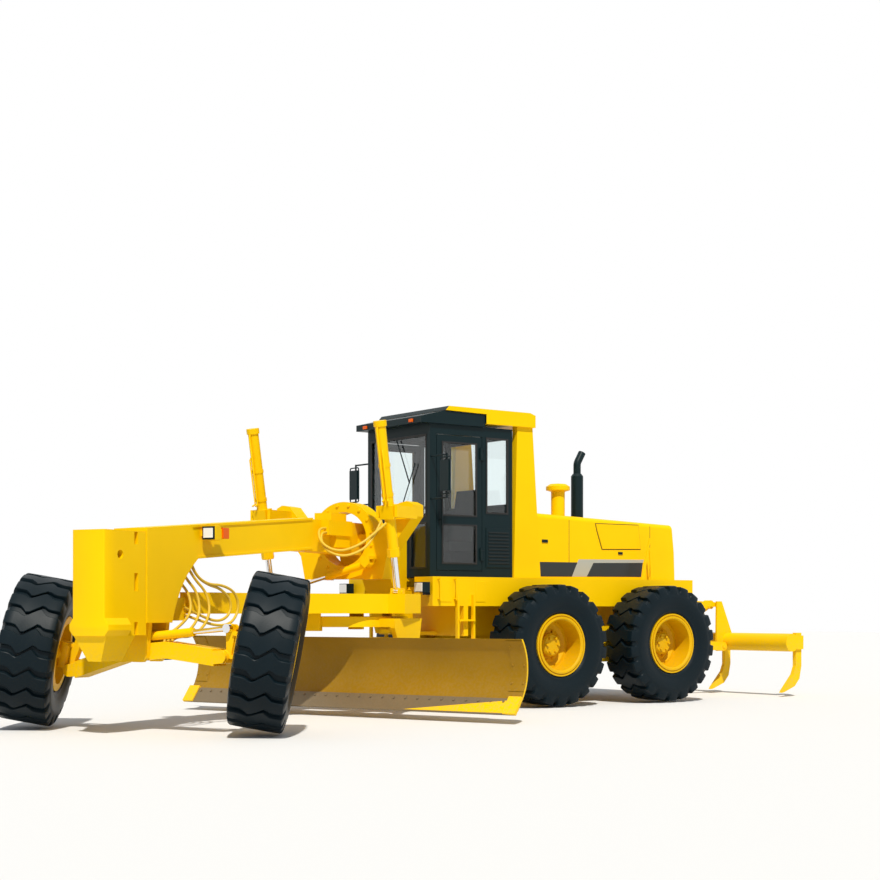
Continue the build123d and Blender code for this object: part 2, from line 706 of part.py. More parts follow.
nose_rear = 4600            # where the beam's underside turns down into the nose
nose_low = 1100
nose_foot = 5100
beam_side = [(beam_rear, beam_top(beam_rear)), (beam_front, beam_front_top),
             (beam_front, nose_low), (5040, nose_low), (4930, 1400), (4800, 1600),
             (nose_rear, beam_top(nose_rear) - beam_depth + 10),
             (beam_rear, beam_top(beam_rear) - beam_depth)]
neck_top = 2300
neck_side = [(beam_rear + 20, neck_top), (900, neck_top), (900, 1900), (beam_rear + 20, 1925)]
ring_rear = ring_x - ring_depth / 2
leg_front = ring_rear - running_gap
leg_side = [(leg_front, 2300), (leg_rear + 130, 2320), (leg_rear, 2230), (leg_rear, 1640),
            (-120, 1500), (-120, 930), (250, 930), (360, 1180), (490, 1480), (600, 1640), (720, 1700),
            (leg_front - 60, 1740), (leg_front, 1880)]
socket_clear = 2
with BuildPart() as front_frame:
    slab(side(front), beam_side, -beam_half, beam_half)
    slab(side(front), neck_side, -neck_half, neck_half)
    slab(side(front), leg_side, -leg_half, leg_half)
    # room for the rear frame's ears below and above the two lugs
    for low, high in ((900, lug_low[0]), (lug_high[1], 1600)):
        cut = [(-200, low), (hinge_reach, low), (hinge_reach, high), (-200, high)]
        cut_slab(side(front), cut, -leg_half - 5, leg_half + 5)
    bar(front, (0, 0, 900), (0, 0, 1600), hinge_pin_radius + running_gap, mode=Mode.SUBTRACT)
    for hand in (1, -1):
        corner = [(-200, hand * 300), (60, hand * 300), (-20, hand * 130), (-200, hand * 60)]
        cut_slab(level(front, lug_low[0] - 5), corner, 0, lug_high[1] - lug_low[0] + 200)
    # ears and pin of the front axle
    for x in (front_axle_x - axle_half_x - 60, front_axle_x + axle_half_x + 5):
        ear = [(-150, nose_low + 5), (150, nose_low + 5), (110, axle_height - 60), (60, axle_height - 100),
               (-60, axle_height - 100), (-110, axle_height - 60)]
        slab(across(front, x), ear, 0, 55)
    bar(front, (front_axle_x - axle_half_x - 60, 0, axle_height), (front_axle_x + axle_half_x + 60, 0, axle_height),
        axle_pin_radius)
    # socket of the drawbar ball
    block(front, (ball_x - 10, -110, ball_z - 110), (nose_foot, 110, ball_z + 130))
    with Locations(front.location * Location((ball_x, 0, ball_z))):
        Sphere(ball_radius + socket_clear, mode=Mode.SUBTRACT)
front_frame.part.label = "front_frame"
export_step(front_frame.part, "parts/front_frame.step")

# ---- push block: counterweight with a tow hole and a pull slot ----
push_front = 6100
push_half = 205
push_low = 730
tow_x = push_front - 240
tow_z = 1780
tow_radius = 45
push_side = [(beam_front + running_gap, 2020), (push_front, 2020), (push_front, 1140),
             (push_front - 130, push_low), (5560, push_low), (5470, 900), (beam_front + running_gap, 1140)]
with BuildPart() as push_block:
    slab(side(front), push_side, -push_half, push_half, radius=25)
    bar(front, (tow_x, -push_half - 1, tow_z), (tow_x, push_half + 1, tow_z), tow_radius, mode=Mode.SUBTRACT)
    block(front, (push_front - 60, -30, 1350), (push_front + 10, 30, 1560), mode=Mode.SUBTRACT)
push_block.part.label = "push_block"
export_step(push_block.part, "parts/push_block.step")

# ---- saddle: ring round the neck with an arm up to each lift cylinder ----
shift_x = 1500              # centre-shift cylinder, ahead of the ring
shift_foot_y = 420
shift_foot_z = 1790
shift_eye_y = -560
shift_eye_z = 1530
shift_eye_half = 32
with BuildPart() as saddle:
    horn = [(300, 1600), (560, 1610), (620, 1900), (980, 2360), (980, 2500), (900, 2540), (790, 2520),
            (420, 2080), (300, 1990)]
    with BuildSketch(across(front, ring_rear)) as ring:
        with Locations((0, ring_z)):
            Circle(ring_outer)
        with BuildLine():
            Polyline((-560, 1610), (560, 1610), (600, 1850), (-600, 1850), close=True)
        make_face()
        with Locations((0, ring_z)):
            Circle(ring_inner, mode=Mode.SUBTRACT)
    extrude(ring.sketch, amount=ring_depth)
    for hand in (1, -1):
        slab(across(front, ring_rear), [(hand * y, z) for y, z in horn], 0, ring_depth)
        block(front, (ring_rear, min(hand * neck_half, hand * ring_outer), ring_z - 60),
              (ring_rear + 120, max(hand * neck_half, hand * ring_outer), ring_z + 60))
        # clevis that carries the cylinder's trunnion pins
        for offset in (-125, 125):
            y = hand * lift_y + offset
            block(front, (ring_rear + ring_depth, y - 20, lift_z - 70), (lift_x + 60, y + 20, lift_z + 70))
        bar(front, (lift_x, hand * lift_y - 150, lift_z), (lift_x, hand * lift_y + 150, lift_z),
            25 + running_gap, mode=Mode.SUBTRACT)
        block(front, (ring_rear + ring_depth, hand * lift_y - 145, lift_z - 70),
              (ring_rear + ring_depth + 100, hand * lift_y + 145, lift_z + 70))
    # foot of the centre-shift cylinder
    for x in (shift_x - 70, shift_x + 50):
        foot = [(shift_foot_y - 60, shift_foot_z), (shift_foot_y, shift_foot_z - 50),
                (shift_foot_y + 60, shift_foot_z), (shift_foot_y + 60, shift_foot_z + 90),
                (shift_foot_y - 60, shift_foot_z + 90)]
        slab(across(front, x), foot, 0, 20)
    block(front, (ring_rear + ring_depth - 5, shift_foot_y - 60, shift_foot_z + 55),
          (shift_x + 70, shift_foot_y + 60, shift_foot_z + 90))
    bar(front, (shift_x - 70, shift_foot_y, shift_foot_z), (shift_x + 70, shift_foot_y, shift_foot_z), 20)
    block(front, (ring_rear - 5, -neck_half - running_gap, 1890), (ring_rear + ring_depth + 5,
          neck_half + running_gap, 2310), mode=Mode.SUBTRACT)
saddle.part.label = "saddle"
export_step(saddle.part, "parts/saddle.step")

# ---- front axle on its pin, with the lean pin ears ----
axle_end = lean_half - 85
axle_out = [(-axle_end, -axle_arch - 85), (-300, -85), (300, -85), (axle_end, -axle_arch - 85),
            (axle_end, -axle_arch + 85), (300, 85), (-300, 85), (-axle_end, -axle_arch + 85)]
lean_pin_radius = 40
fork_thick = 35
fork_radius = 66
with BuildPart() as front_axle:
    slab(across(axle_frame), axle_out, -axle_half_x, axle_half_x)
    for hand in (1, -1):
        y = sorted((hand * (axle_end - 20), hand * lean_half))
        for x in (-axle_half_x, axle_half_x - fork_thick):
            block(axle_frame, (x, y[0], -axle_arch - fork_radius), (x + fork_thick, y[1], -axle_arch + fork_radius))
            bar(axle_frame, (x, hand * lean_half, -axle_arch), (x + fork_thick, hand * lean_half, -axle_arch),
                fork_radius)
        bar(axle_frame, (-axle_half_x, hand * lean_half, -axle_arch), (axle_half_x, hand * lean_half, -axle_arch),
            lean_pin_radius)
    bar(axle_frame, (-axle_half_x - 1, 0, 0), (axle_half_x + 1, 0, 0), axle_pin_radius + running_gap,
        mode=Mode.SUBTRACT)
    # foot of the lean cylinder
    for x in (lean_cylinder_x - 50, lean_cylinder_x + 30):
        block(axle_frame, (x, lean_foot_y - 50, 70), (x + 20, lean_foot_y + 50, lean_foot_z + 50))
    bar(axle_frame, (lean_cylinder_x - 50, lean_foot_y, lean_foot_z),
        (lean_cylinder_x + 50, lean_foot_y, lean_foot_z), 20)
front_axle.part.label = "front_axle"
export_step(front_axle.part, "parts/front_axle.step")

# ---- yokes, knuckles, lean bar, tie rod, lean cylinder ----
kingpin_radius = 45
kingpin_half = 135
arm_boss = 72
steer_arm = 260
steer_arm_drop = -40
stud_radius = 12
tie_ball_radius = 24
tie_ball_drop = steer_arm_drop - 75
yoke_eye_half = axle_half_x - fork_thick - 5
lean_pin_top = lean_pin_radius + running_gap
hands = {"left": 1, "right": -1}


def tie_ball(at):
    """Stud through a steering arm with the tie rod's ball under it."""
    bar(at, (-steer_arm, 0, steer_arm_drop + 30), (-steer_arm, 0, tie_ball_drop), stud_radius)
    with Locations(at.location * Location((-steer_arm, 0, tie_ball_drop))):
        Sphere(tie_ball_radius)


for hand_name, hand in hands.items():
    at = yoke_frame(hand)
    with BuildPart() as yoke:
        bar(at, (-yoke_eye_half, 0, 0), (yoke_eye_half, 0, 0), 70)
        y = sorted((hand * 10, hand * 75))
        block(at, (-28, y[0], -20), (28, y[1], hub_rise + kingpin_half))
        lever = [(hand * 75, 0), (hand * 75, hub_rise), (hand * 30, lean_arm + 45), (-hand * 30, lean_arm + 45),
                 (-hand * 40, lean_arm - 30), (hand * 10, 60)]
        slab(across(at), lever, -30, 30)
        for low in (hub_rise - kingpin_half, hub_rise + kingpin_half - 35):
            y = sorted((hand * 60, hand * kingpin_span))
            block(at, (-50, y[0], low), (50, y[1], low + 35))
            bar(at, (0, hand * kingpin_span, low), (0, hand * kingpin_span, low + 35), arm_boss)
        bar(at, (0, hand * kingpin_span, hub_rise - kingpin_half), (0, hand * kingpin_span, hub_rise + kingpin_half),
            kingpin_radius)
        bar(at, (-yoke_eye_half - 5, 0, 0), (yoke_eye_half + 5, 0, 0), lean_pin_top, mode=Mode.SUBTRACT)
        bar(at, (-84, 0, lean_arm), (30, 0, lean_arm), 22)
    yoke.part.label = f"yoke_{hand_name}"
    export_step(yoke.part, f"parts/yoke_{hand_name}.step")

    at = knuckle_frame(hand)
    with BuildPart() as knuckle:
        sleeve = kingpin_half - 35 - 1
        bar(at, (0, 0, -sleeve), (0, 0, sleeve), arm_boss)
        bar(at, (0, 0, 0), (0, hand * (hub_span - 60), 0), 62)
        hub_face = hub_span + disc_at - running_gap
        bar(at, (0, hand * (hub_span - 60), 0), (0, hand * hub_face, 0), 120)
        arm = [(0, -40), (0, 40), (-steer_arm, 26), (-steer_arm - 26, 0), (-steer_arm, -26)]
        slab(level(at, steer_arm_drop), arm, -18, 18)
        bar(at, (0, 0, -sleeve - 5), (0, 0, sleeve + 5), kingpin_radius + running_gap, mode=Mode.SUBTRACT)
        if hand == 1:
            bar(at, (-steer_arm, 0, steer_arm_drop - 20), (-steer_arm, 0, steer_arm_drop + 20), stud_radius + running_gap,
                mode=Mode.SUBTRACT)
        else:
            tie_ball(at)
    knuckle.part.label = f"knuckle_{hand_name}"
    export_step(knuckle.part, f"parts/knuckle_{hand_name}.step")

# lean bar between the tops of the two yokes, behind them
with BuildPart() as lean_bar:
    ends = []
    for hand in (1, -1):
        pin = yoke_frame(hand).from_local_coords(Vector(0, 0, lean_arm))
        ends.append(front.to_local_coords(pin))
    left_end, right_end = ends
    bar(front, (left_end.X - 56, left_end.Y, left_end.Z), (right_end.X - 56, right_end.Y, right_end.Z), 24)
    for end in ends:
        bar(front, (end.X - 80, end.Y, end.Z), (end.X - 32, end.Y, end.Z), 42)
    for end in ends:
        bar(front, (end.X - 85, end.Y, end.Z), (end.X - 30, end.Y, end.Z), 22 + running_gap, mode=Mode.SUBTRACT)
lean_bar.part.label = "lean_bar"
export_step(lean_bar.part, "parts/lean_bar.step")

# ball stud of the left steering arm
with BuildPart() as tie_rod_end:
    tie_ball(knuckle_frame(1))
tie_rod_end.part.label = "tie_rod_end"
export_step(tie_rod_end.part, "parts/tie_rod_end.step")

# tie rod: a cup round the left ball and a trough, open at its end, round the right
cup_wall = 12
right_play = (-8, 18)       # the right ball's travel in its cup, inwards and outwards
right_slack = 4
with BuildPart() as tie_rod:
    balls = []
    for hand in (1, -1):
        ball = knuckle_frame(hand).from_local_coords(Vector(-steer_arm, 0, tie_ball_drop))
        balls.append(tuple(front.to_local_coords(ball)))
    left_ball, right_ball = balls
    bar(front, left_ball, right_ball, 22)
    cup_in = toward(right_ball, left_ball, tie_ball_radius - right_play[0])
    cup_out = toward(right_ball, left_ball, -right_play[1])
    bar(front, cup_out, toward(cup_in, cup_out, -cup_wall), tie_ball_radius + right_slack + cup_wall)
    bar(front, toward(cup_out, cup_in, -1), cup_in, tie_ball_radius + right_slack, mode=Mode.SUBTRACT)
    with Locations(front.location * Location(left_ball)):
        Sphere(tie_ball_radius + cup_wall)
        Sphere(tie_ball_radius + running_gap, mode=Mode.SUBTRACT)
    # both cups are open at the top, where the studs lean
    for x, y, z in balls:
        block(front, (x - 45, y - 60, z + 6), (x + 45, y + 60, z + 50), mode=Mode.SUBTRACT)
tie_rod.part.label = "tie_rod"
export_step(tie_rod.part, "parts/tie_rod.step")

# lean cylinder from its foot on the axle to the top of the left yoke
lean_foot = front.to_local_coords(axle_frame.from_local_coords(Vector(lean_cylinder_x, lean_foot_y, lean_foot_z)))
lean_eye = front.to_local_coords(yoke_frame(1).from_local_coords(Vector(0, 0, lean_arm)))
lean_foot = (lean_foot.X, lean_foot.Y, lean_foot.Z)
lean_eye = (lean_foot[0], lean_eye.Y, lean_eye.Z)
lean_span = math.dist(lean_foot, lean_eye)
lean_barrel_length = lean_span - 420
with BuildPart() as lean_barrel:
    bar(front, toward(lean_foot, lean_eye, 30), toward(lean_foot, lean_eye, 80), 26)
    bar(front, toward(lean_foot, lean_eye, 70), toward(lean_foot, lean_eye, lean_barrel_length), 45)
    bar(front, (lean_foot[0] - 28, lean_foot[1], lean_foot[2]), (lean_foot[0] + 28, lean_foot[1], lean_foot[2]), 48)
    bar(front, (lean_foot[0] - 30, lean_foot[1], lean_foot[2]), (lean_foot[0] + 30, lean_foot[1], lean_foot[2]),
        20 + running_gap, mode=Mode.SUBTRACT)
    bar(front, toward(lean_foot, lean_eye, 110), toward(lean_foot, lean_eye, lean_barrel_length + 5),
        25 + running_gap, mode=Mode.SUBTRACT)
lean_barrel.part.label = "lean_barrel"
export_step(lean_barrel.part, "parts/lean_barrel.step")

with BuildPart() as lean_rod:
    bar(front, toward(lean_foot, lean_eye, lean_span / 2 - 120), toward(lean_foot, lean_eye, lean_span - 20), 25)
    bar(front, (lean_eye[0] - 28, lean_eye[1], lean_eye[2]), (lean_eye[0] + 28, lean_eye[1], lean_eye[2]), 45)
lean_rod.part.label = "lean_rod"
export_step(lean_rod.part, "parts/lean_rod.step")

# ---- headlamps on the beam, valve block beside the neck ----
lamp_x = 4570
with BuildPart() as headlamps:
    for hand in (1, -1):
        y = sorted((hand * (beam_half + 40), hand * (beam_half + 210)))
        block(front, (lamp_x - 60, y[0], 1960), (lamp_x + 50, y[1], 2120))
        y = sorted((hand * beam_half, hand * (beam_half + 60)))
        block(front, (lamp_x - 30, y[0], 2000), (lamp_x + 10, y[1], 2060))
        y = sorted((hand * beam_half, hand * (beam_half + 50)))
        block(front, (lamp_x - 240, y[0], 1985), (lamp_x - 150, y[1], 2085))
headlamps.part.label = "headlamps"
export_step(headlamps.part, "parts/headlamps.step")

with BuildPart() as valve_block:
    block(front, (1550, neck_half + running_gap, 2120), (2080, 235, 2300))
    block(front, (1560, neck_half + running_gap, 1980), (1880, 215, 2120))
    block(front, (1500, -120, neck_top + running_gap), (1840, 120, neck_top + 100))
valve_block.part.label = "valve_block"
export_step(valve_block.part, "parts/valve_block.step")

# ---- drawbar: ball, tongue, A-frame, crossbeam, circle shoes ----
eye_ear = 20
with BuildPart() as drawbar:
    with Locations(front.location * Location((ball_x, 0, ball_z))):
        Sphere(ball_radius)
    bar(front, (ball_x, 0, ball_z), (ball_x - 160, 0, ball_z + 25), 45)
    tongue = [(ball_x - 140, 60), (3300, 130), (crossbeam_front, 900), (crossbeam_front, -900), (3300, -130),
              (ball_x - 140, -60)]
    slab(level(front, drawbar_low), tongue, 0, drawbar_high - drawbar_low)
    window = [(3000, 0), (crossbeam_front + 60, 640), (crossbeam_front + 60, -640)]
    cut_slab(level(front, drawbar_low), window, -5, drawbar_high - drawbar_low + 5, radius=60)
    block(front, (crossbeam_rear, -crossbeam_half, drawbar_low), (crossbeam_front, crossbeam_half, drawbar_high))
    # rear half of the table over the circle
    with BuildSketch(level(front, drawbar_low)) as table:
        with Locations((circle_x, 0)):
            Circle(circle_outer + 50)
            Circle(circle_inner - 130, mode=Mode.SUBTRACT)
    extrude(table.sketch, amount=50)
    # shoes that hang the circle under the table, fore and aft
    for angle in (-15, 15, 165, 195):
        shoe = moved(front, (circle_x, 0, 0), (0, 0, angle))
        block(shoe, (circle_outer + running_gap, -90, circle_low - 45), (circle_outer + 48, 90, drawbar_low + 5))
        block(shoe, (circle_outer - 50, -90, circle_low - 45), (circle_outer + 48, 90, circle_low - running_gap))
    # circle drive
    bar(front, (2080, -380, drawbar_low), (2080, -380, drawbar_high + 120), 110)
    for hand in (1, -1):
        for offset in (-60, 60 - eye_ear):
            y = hand * lift_y + offset
            block(front, (lift_eye_x - 70, y, drawbar_high - 10), (lift_eye_x + 70, y + eye_ear, lift_eye_z + 50))
        for offset in (-70, 60):
            y = hand * lift_y + offset
            bar(front, (lift_eye_x, y, lift_eye_z), (lift_eye_x, y + 10, lift_eye_z), 25)
    # the centre-shift rod's eye lies behind this plate, which swings back by 15 mm as the drawbar sinks
    plate_x = shift_x + shift_eye_half + 19
    block(front, (plate_x, shift_eye_y - 60, drawbar_high - 10), (plate_x + 30, shift_eye_y + 60, shift_eye_z + 50))
    for hand in (1, -1):
        block(front, (lift_eye_x - 75, hand * lift_y - 39, drawbar_high - 60), (lift_eye_x + 75, hand * lift_y + 39,
              drawbar_high + 10), mode=Mode.SUBTRACT)
drawbar.part.label = "drawbar"
export_step(drawbar.part, "parts/drawbar.step")

# ---- circle with its arms ----
with BuildPart() as circle:
    with BuildSketch(level(circle_frame, circle_low)) as ring:
        Circle(circle_outer)
        Circle(circle_inner, mode=Mode.SUBTRACT)
    extrude(ring.sketch, amount=circle_high - circle_low)
    for hand in (1, -1):
        y = sorted((hand * 700, hand * (arm_y + arm_thick / 2)))
        block(circle_frame, (-260, y[0], circle_low), (250, y[1], circle_high - 20))
        arm = [(-300, circle_high - 20), (250, circle_high - 20), (250, 1020), (130, 740), (150, 520),
               (pitch_x + 65, pitch_z + 20), (pitch_x + 65, pitch_z - 30), (pitch_x, pitch_z - 75),
               (pitch_x - 70, pitch_z - 40), (40, 520), (-60, 780), (-260, 900)]
        slab(side(circle_frame, hand * arm_y), arm, -arm_thick / 2, arm_thick / 2)
        bar(circle_frame, (pitch_x, hand * (arm_y - 140), pitch_z), (pitch_x, hand * arm_y, pitch_z), 35)
    with BuildSketch(level(circle_frame, circle_low)) as bore:
        Circle(circle_inner)
    extrude(bore.sketch, amount=circle_high - circle_low, mode=Mode.SUBTRACT)
circle.part.label = "circle"
export_step(circle.part, "parts/circle.step")

# ---- moldboard, cutting edge and the carriers the blade slides in ----
blade_frame = moved(circle_frame, (0, blade_shift, 0))
lean_back = Vector(-math.sin(math.radians(edge_lean)), math.cos(math.radians(edge_lean)))
behind = Vector(-math.cos(math.radians(edge_lean)), -math.sin(math.radians(edge_lean)))


def edge_point(along, back):
    """A point up the cutting edge's face, set back from it, as (x, z)."""
    point = Vector(blade_x, blade_low) + lean_back * along + behind * back
    return (point.X, point.Y)


board_front = edge_thick + running_gap
bend_at = edge_point(edge_length, board_front)
bend_centre = edge_point(edge_length, board_front - blade_bend)


def board_x(z, offset=0):
    """Depth of the moldboard's curved face at a height, set back by offset."""
    radius = blade_bend + offset
    return bend_centre[0] - math.sqrt(radius**2 - (z - bend_centre[1]) ** 2)


with BuildPart() as moldboard:
    with BuildSketch(side(blade_frame)) as section:
        with BuildLine():
            foot_front = edge_point(70, board_front)
            foot_back = edge_point(70, board_front + blade_thick)
            bend_back = edge_point(edge_length, board_front + blade_thick)
            top_front = (board_x(blade_top), blade_top)
            top_back = (board_x(blade_top, blade_thick), blade_top)
            Line(foot_front, bend_at)
            ThreePointArc(bend_at, (board_x(bend_centre[1]), bend_centre[1]), top_front)
            Line(top_front, top_back)
            ThreePointArc(top_back, (board_x(bend_centre[1], blade_thick), bend_centre[1]), bend_back)
            Line(bend_back, foot_back)
            Line(foot_back, foot_front)
        make_face()
    extrude(section.sketch, amount=blade_half, both=True)
    # slide rails along the back
    for z in (slide_low, slide_high):
        block(blade_frame, (slide_face, -slide_half, z - 22), (board_x(z, blade_thick / 2), slide_half, z + 22))
moldboard.part.label = "moldboard"
export_step(moldboard.part, "parts/moldboard.step")

end_bit = 150
with BuildPart() as cutting_edge:
    edge = [edge_point(0, 0), edge_point(edge_length - 20, 0), edge_point(edge_length - 20, edge_thick),
            edge_point(0, edge_thick)]
    slab(side(blade_frame), edge, -blade_half + end_bit, blade_half - end_bit)
    bit = [edge_point(0, -16), edge_point(edge_length, -16), edge_point(edge_length, edge_thick),
           edge_point(0, edge_thick)]
    for hand in (1, -1):
        low = min(hand * (blade_half - end_bit), hand * (blade_half + 15))
        slab(side(blade_frame), bit, low, low + end_bit + 15)
cutting_edge.part.label = "cutting_edge"
export_step(cutting_edge.part, "parts/cutting_edge.step")

carrier_out = arm_y - arm_thick / 2 - 5
carrier_thick = 90
with BuildPart() as blade_carrier:
    for hand in (1, -1):
        y = sorted((hand * (carrier_out - carrier_thick), hand * carrier_out))
        plate = [(pitch_x - 60, pitch_z), (pitch_x - 30, pitch_z - 60), (slide_face - 5, slide_low - 70),
                 (slide_face - 5, slide_high + 70), (slide_face - 60, slide_high + 70), (pitch_x - 20, 560)]
        slab(side(circle_frame), plate, -y[1], -y[0])
        for z in (slide_low, slide_high):
            block(circle_frame, (slide_face - 10, y[0], z + 22 + running_gap), (slide_face + 45, y[1], z + 70))
            block(circle_frame, (slide_face - 10, y[0], z - 70), (slide_face + 45, y[1], z - 22 - running_gap))
        bar(circle_frame, (pitch_x, y[0], pitch_z), (pitch_x, y[1], pitch_z), 62)
        bar(circle_frame, (pitch_x, y[0] - 5, pitch_z), (pitch_x, y[1] + 5, pitch_z), 35 + running_gap,
            mode=Mode.SUBTRACT)
blade_carrier.part.label = "blade_carrier"
export_step(blade_carrier.part, "parts/blade_carrier.step")

# ---- lift cylinders ----
for hand_name, hand in hands.items():
    pivot = (lift_x, hand * lift_y, lift_z)
    eye = (lift_eye_x, hand * lift_y, lift_eye_z)
    with BuildPart() as lift_barrel:
        bar(front, toward(pivot, eye, -lift_barrel_up), toward(pivot, eye, lift_barrel_down), lift_barrel_radius)
        bar(front, toward(pivot, eye, -lift_barrel_up - 25), toward(pivot, eye, -lift_barrel_up + 40), 78)
        bar(front, toward(pivot, eye, lift_barrel_down - 90), toward(pivot, eye, lift_barrel_down), 74)
        block(moved(front, pivot, (0, math.degrees(math.atan2(lift_x - lift_eye_x, lift_z - lift_eye_z)), 0)),
              (-80, -90, -80), (80, 90, 80))
        bar(front, (lift_x, hand * lift_y - 145, lift_z), (lift_x, hand * lift_y + 145, lift_z), 25)
        bar(front, toward(pivot, eye, lift_barrel_down - 900), toward(pivot, eye, lift_barrel_down + 5),
            lift_rod_radius + running_gap, mode=Mode.SUBTRACT)
    lift_barrel.part.label = f"lift_barrel_{hand_name}"
    export_step(lift_barrel.part, f"parts/lift_barrel_{hand_name}.step")
    with BuildPart() as lift_rod:
        bar(front, toward(pivot, eye, lift_barrel_down - 600), toward(eye, pivot, 20), lift_rod_radius)
        y = hand * lift_y
        bar(front, (lift_eye_x, y - 38, lift_eye_z), (lift_eye_x, y + 38, lift_eye_z), 50)
    lift_rod.part.label = f"lift_rod_{hand_name}"
    export_step(lift_rod.part, f"parts/lift_rod_{hand_name}.step")

# ---- centre-shift cylinder ----
shift_foot = (shift_x, shift_foot_y, shift_foot_z)
shift_eye = (shift_x, shift_eye_y, shift_eye_z)
shift_barrel_length = 600
with BuildPart() as shift_barrel:
    bar(front, toward(shift_foot, shift_eye, 30), toward(shift_foot, shift_eye, shift_barrel_length), 45)
    bar(front, (shift_x - 48, shift_foot_y, shift_foot_z), (shift_x + 48, shift_foot_y, shift_foot_z), 42)
    bar(front, (shift_x - 55, shift_foot_y, shift_foot_z), (shift_x + 55, shift_foot_y, shift_foot_z),
        20 + running_gap, mode=Mode.SUBTRACT)
    bar(front, toward(shift_foot, shift_eye, 120), toward(shift_foot, shift_eye, shift_barrel_length + 5),
        24 + running_gap, mode=Mode.SUBTRACT)
shift_barrel.part.label = "shift_barrel"
export_step(shift_barrel.part, "parts/shift_barrel.step")

with BuildPart() as shift_rod:
    bar(front, toward(shift_foot, shift_eye, shift_barrel_length - 180), toward(shift_eye, shift_foot, 15), 24)
    bar(front, (shift_x - shift_eye_half, shift_eye_y, shift_eye_z),
        (shift_x + shift_eye_half, shift_eye_y, shift_eye_z), 40)
shift_rod.part.label = "shift_rod"
export_step(shift_rod.part, "parts/shift_rod.step")

# ---- hose from the valve block to the left lift cylinder ----
hose_radius = 15
hose_points = [(2080 + running_gap, 190, 2200), (2250, 190, 2200), (2370, 300, 2010), (2330, 520, 1900),
               (2180, 720, 1980), (2020, 860, 2150), (1880, 900, 2250)]
hose_radii = []
for a, b, c in zip(hose_points, hose_points[1:], hose_points[2:]):
    before = Vector(*b) - Vector(*a)
    after = Vector(*c) - Vector(*b)
    half_turn = math.radians(before.get_angle(after)) / 2
    hose_radii.append(0.45 * min(before.length, after.length) / math.tan(half_turn))
print("hose radii", [round(radius) for radius in hose_radii])
with BuildPart() as lift_hose:
    with BuildLine(front) as hose_route:
        FilletPolyline(*hose_points, radius=hose_radii)
    hose_wire = hose_route.wire()
    with BuildSketch(Plane(origin=hose_wire @ 0, z_dir=hose_wire % 0)) as hose_section:
        Circle(hose_radius)
    sweep(hose_section.sketch, path=hose_wire)
lift_hose.part.label = "lift_hose"
export_step(lift_hose.part, "parts/lift_hose.step")
hose_length = hose_wire.length
print("hose length", round(hose_length), "volume over section", lift_hose.part.volume / (math.pi * hose_radius**2))
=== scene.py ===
import bpy
import json
import math
import numpy as np
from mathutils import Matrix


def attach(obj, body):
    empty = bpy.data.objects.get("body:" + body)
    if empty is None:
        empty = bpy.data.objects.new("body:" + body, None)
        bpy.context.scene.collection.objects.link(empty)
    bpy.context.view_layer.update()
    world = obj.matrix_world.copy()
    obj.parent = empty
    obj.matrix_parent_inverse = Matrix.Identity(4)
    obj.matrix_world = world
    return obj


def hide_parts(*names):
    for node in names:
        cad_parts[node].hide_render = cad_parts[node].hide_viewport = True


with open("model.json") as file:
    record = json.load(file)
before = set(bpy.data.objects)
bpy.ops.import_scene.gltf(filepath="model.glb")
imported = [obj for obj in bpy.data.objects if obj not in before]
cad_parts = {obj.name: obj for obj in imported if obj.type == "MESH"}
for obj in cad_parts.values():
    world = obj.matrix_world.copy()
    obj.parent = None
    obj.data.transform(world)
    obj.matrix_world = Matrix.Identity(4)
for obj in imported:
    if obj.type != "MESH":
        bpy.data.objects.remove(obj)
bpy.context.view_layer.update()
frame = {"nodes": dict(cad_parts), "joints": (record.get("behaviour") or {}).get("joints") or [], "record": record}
nodes = frame["nodes"]

# ---- Camera ----
# The whole machine is seen from ahead of its left front wheel, at head height, with a
# moderate telephoto: the horizon lies low in the picture, so the lens is shifted up.
camera_data = bpy.data.cameras.new("camera")
camera = bpy.data.objects.new("camera", camera_data)
bpy.context.scene.collection.objects.link(camera)
camera.location = (14.866, 17.694, 1.232)
camera.rotation_euler = (math.radians(90), 0, math.radians(-126.48 - 90))
camera_data.sensor_width = 36
camera_data.lens = 67.98
camera_data.shift_y = 0.193
camera_data.clip_end = 300
bpy.context.scene.camera = camera

# ---- Ground, sky and sun ----
# A plain pale floor that the machine's shadow falls on. What the camera sees past the
# shadow is plain white, and the machine is lit by an even sky and one high sun.
scene = bpy.context.scene
scene.view_settings.view_transform = "Standard"
world = bpy.data.worlds.new("sky")
scene.world = world
world.use_nodes = True
tree = world.node_tree
tree.nodes.clear()
path = tree.nodes.new("ShaderNodeLightPath")
seen = tree.nodes.new("ShaderNodeMath")
seen.operation = "MAXIMUM"
tree.links.new(path.outputs["Is Camera Ray"], seen.inputs[0])
through = tree.nodes.new("ShaderNodeMath")
through.operation = "MAXIMUM"
tree.links.new(path.outputs["Is Transmission Ray"], through.inputs[0])
tree.links.new(path.outputs["Is Glossy Ray"], through.inputs[1])
tree.links.new(through.outputs[0], seen.inputs[1])
plain = tree.nodes.new("ShaderNodeBackground")
plain.inputs["Color"].default_value = (1, 1, 1, 1)
plain.inputs["Strength"].default_value = 1
sky = tree.nodes.new("ShaderNodeBackground")
sky.inputs["Color"].default_value = (0.82, 0.9, 1, 1)
sky.inputs["Strength"].default_value = 0.36
choice = tree.nodes.new("ShaderNodeMixShader")
tree.links.new(seen.outputs[0], choice.inputs["Fac"])
tree.links.new(sky.outputs[0], choice.inputs[1])
tree.links.new(plain.outputs[0], choice.inputs[2])
sky_out = tree.nodes.new("ShaderNodeOutputWorld")
tree.links.new(choice.outputs[0], sky_out.inputs[0])

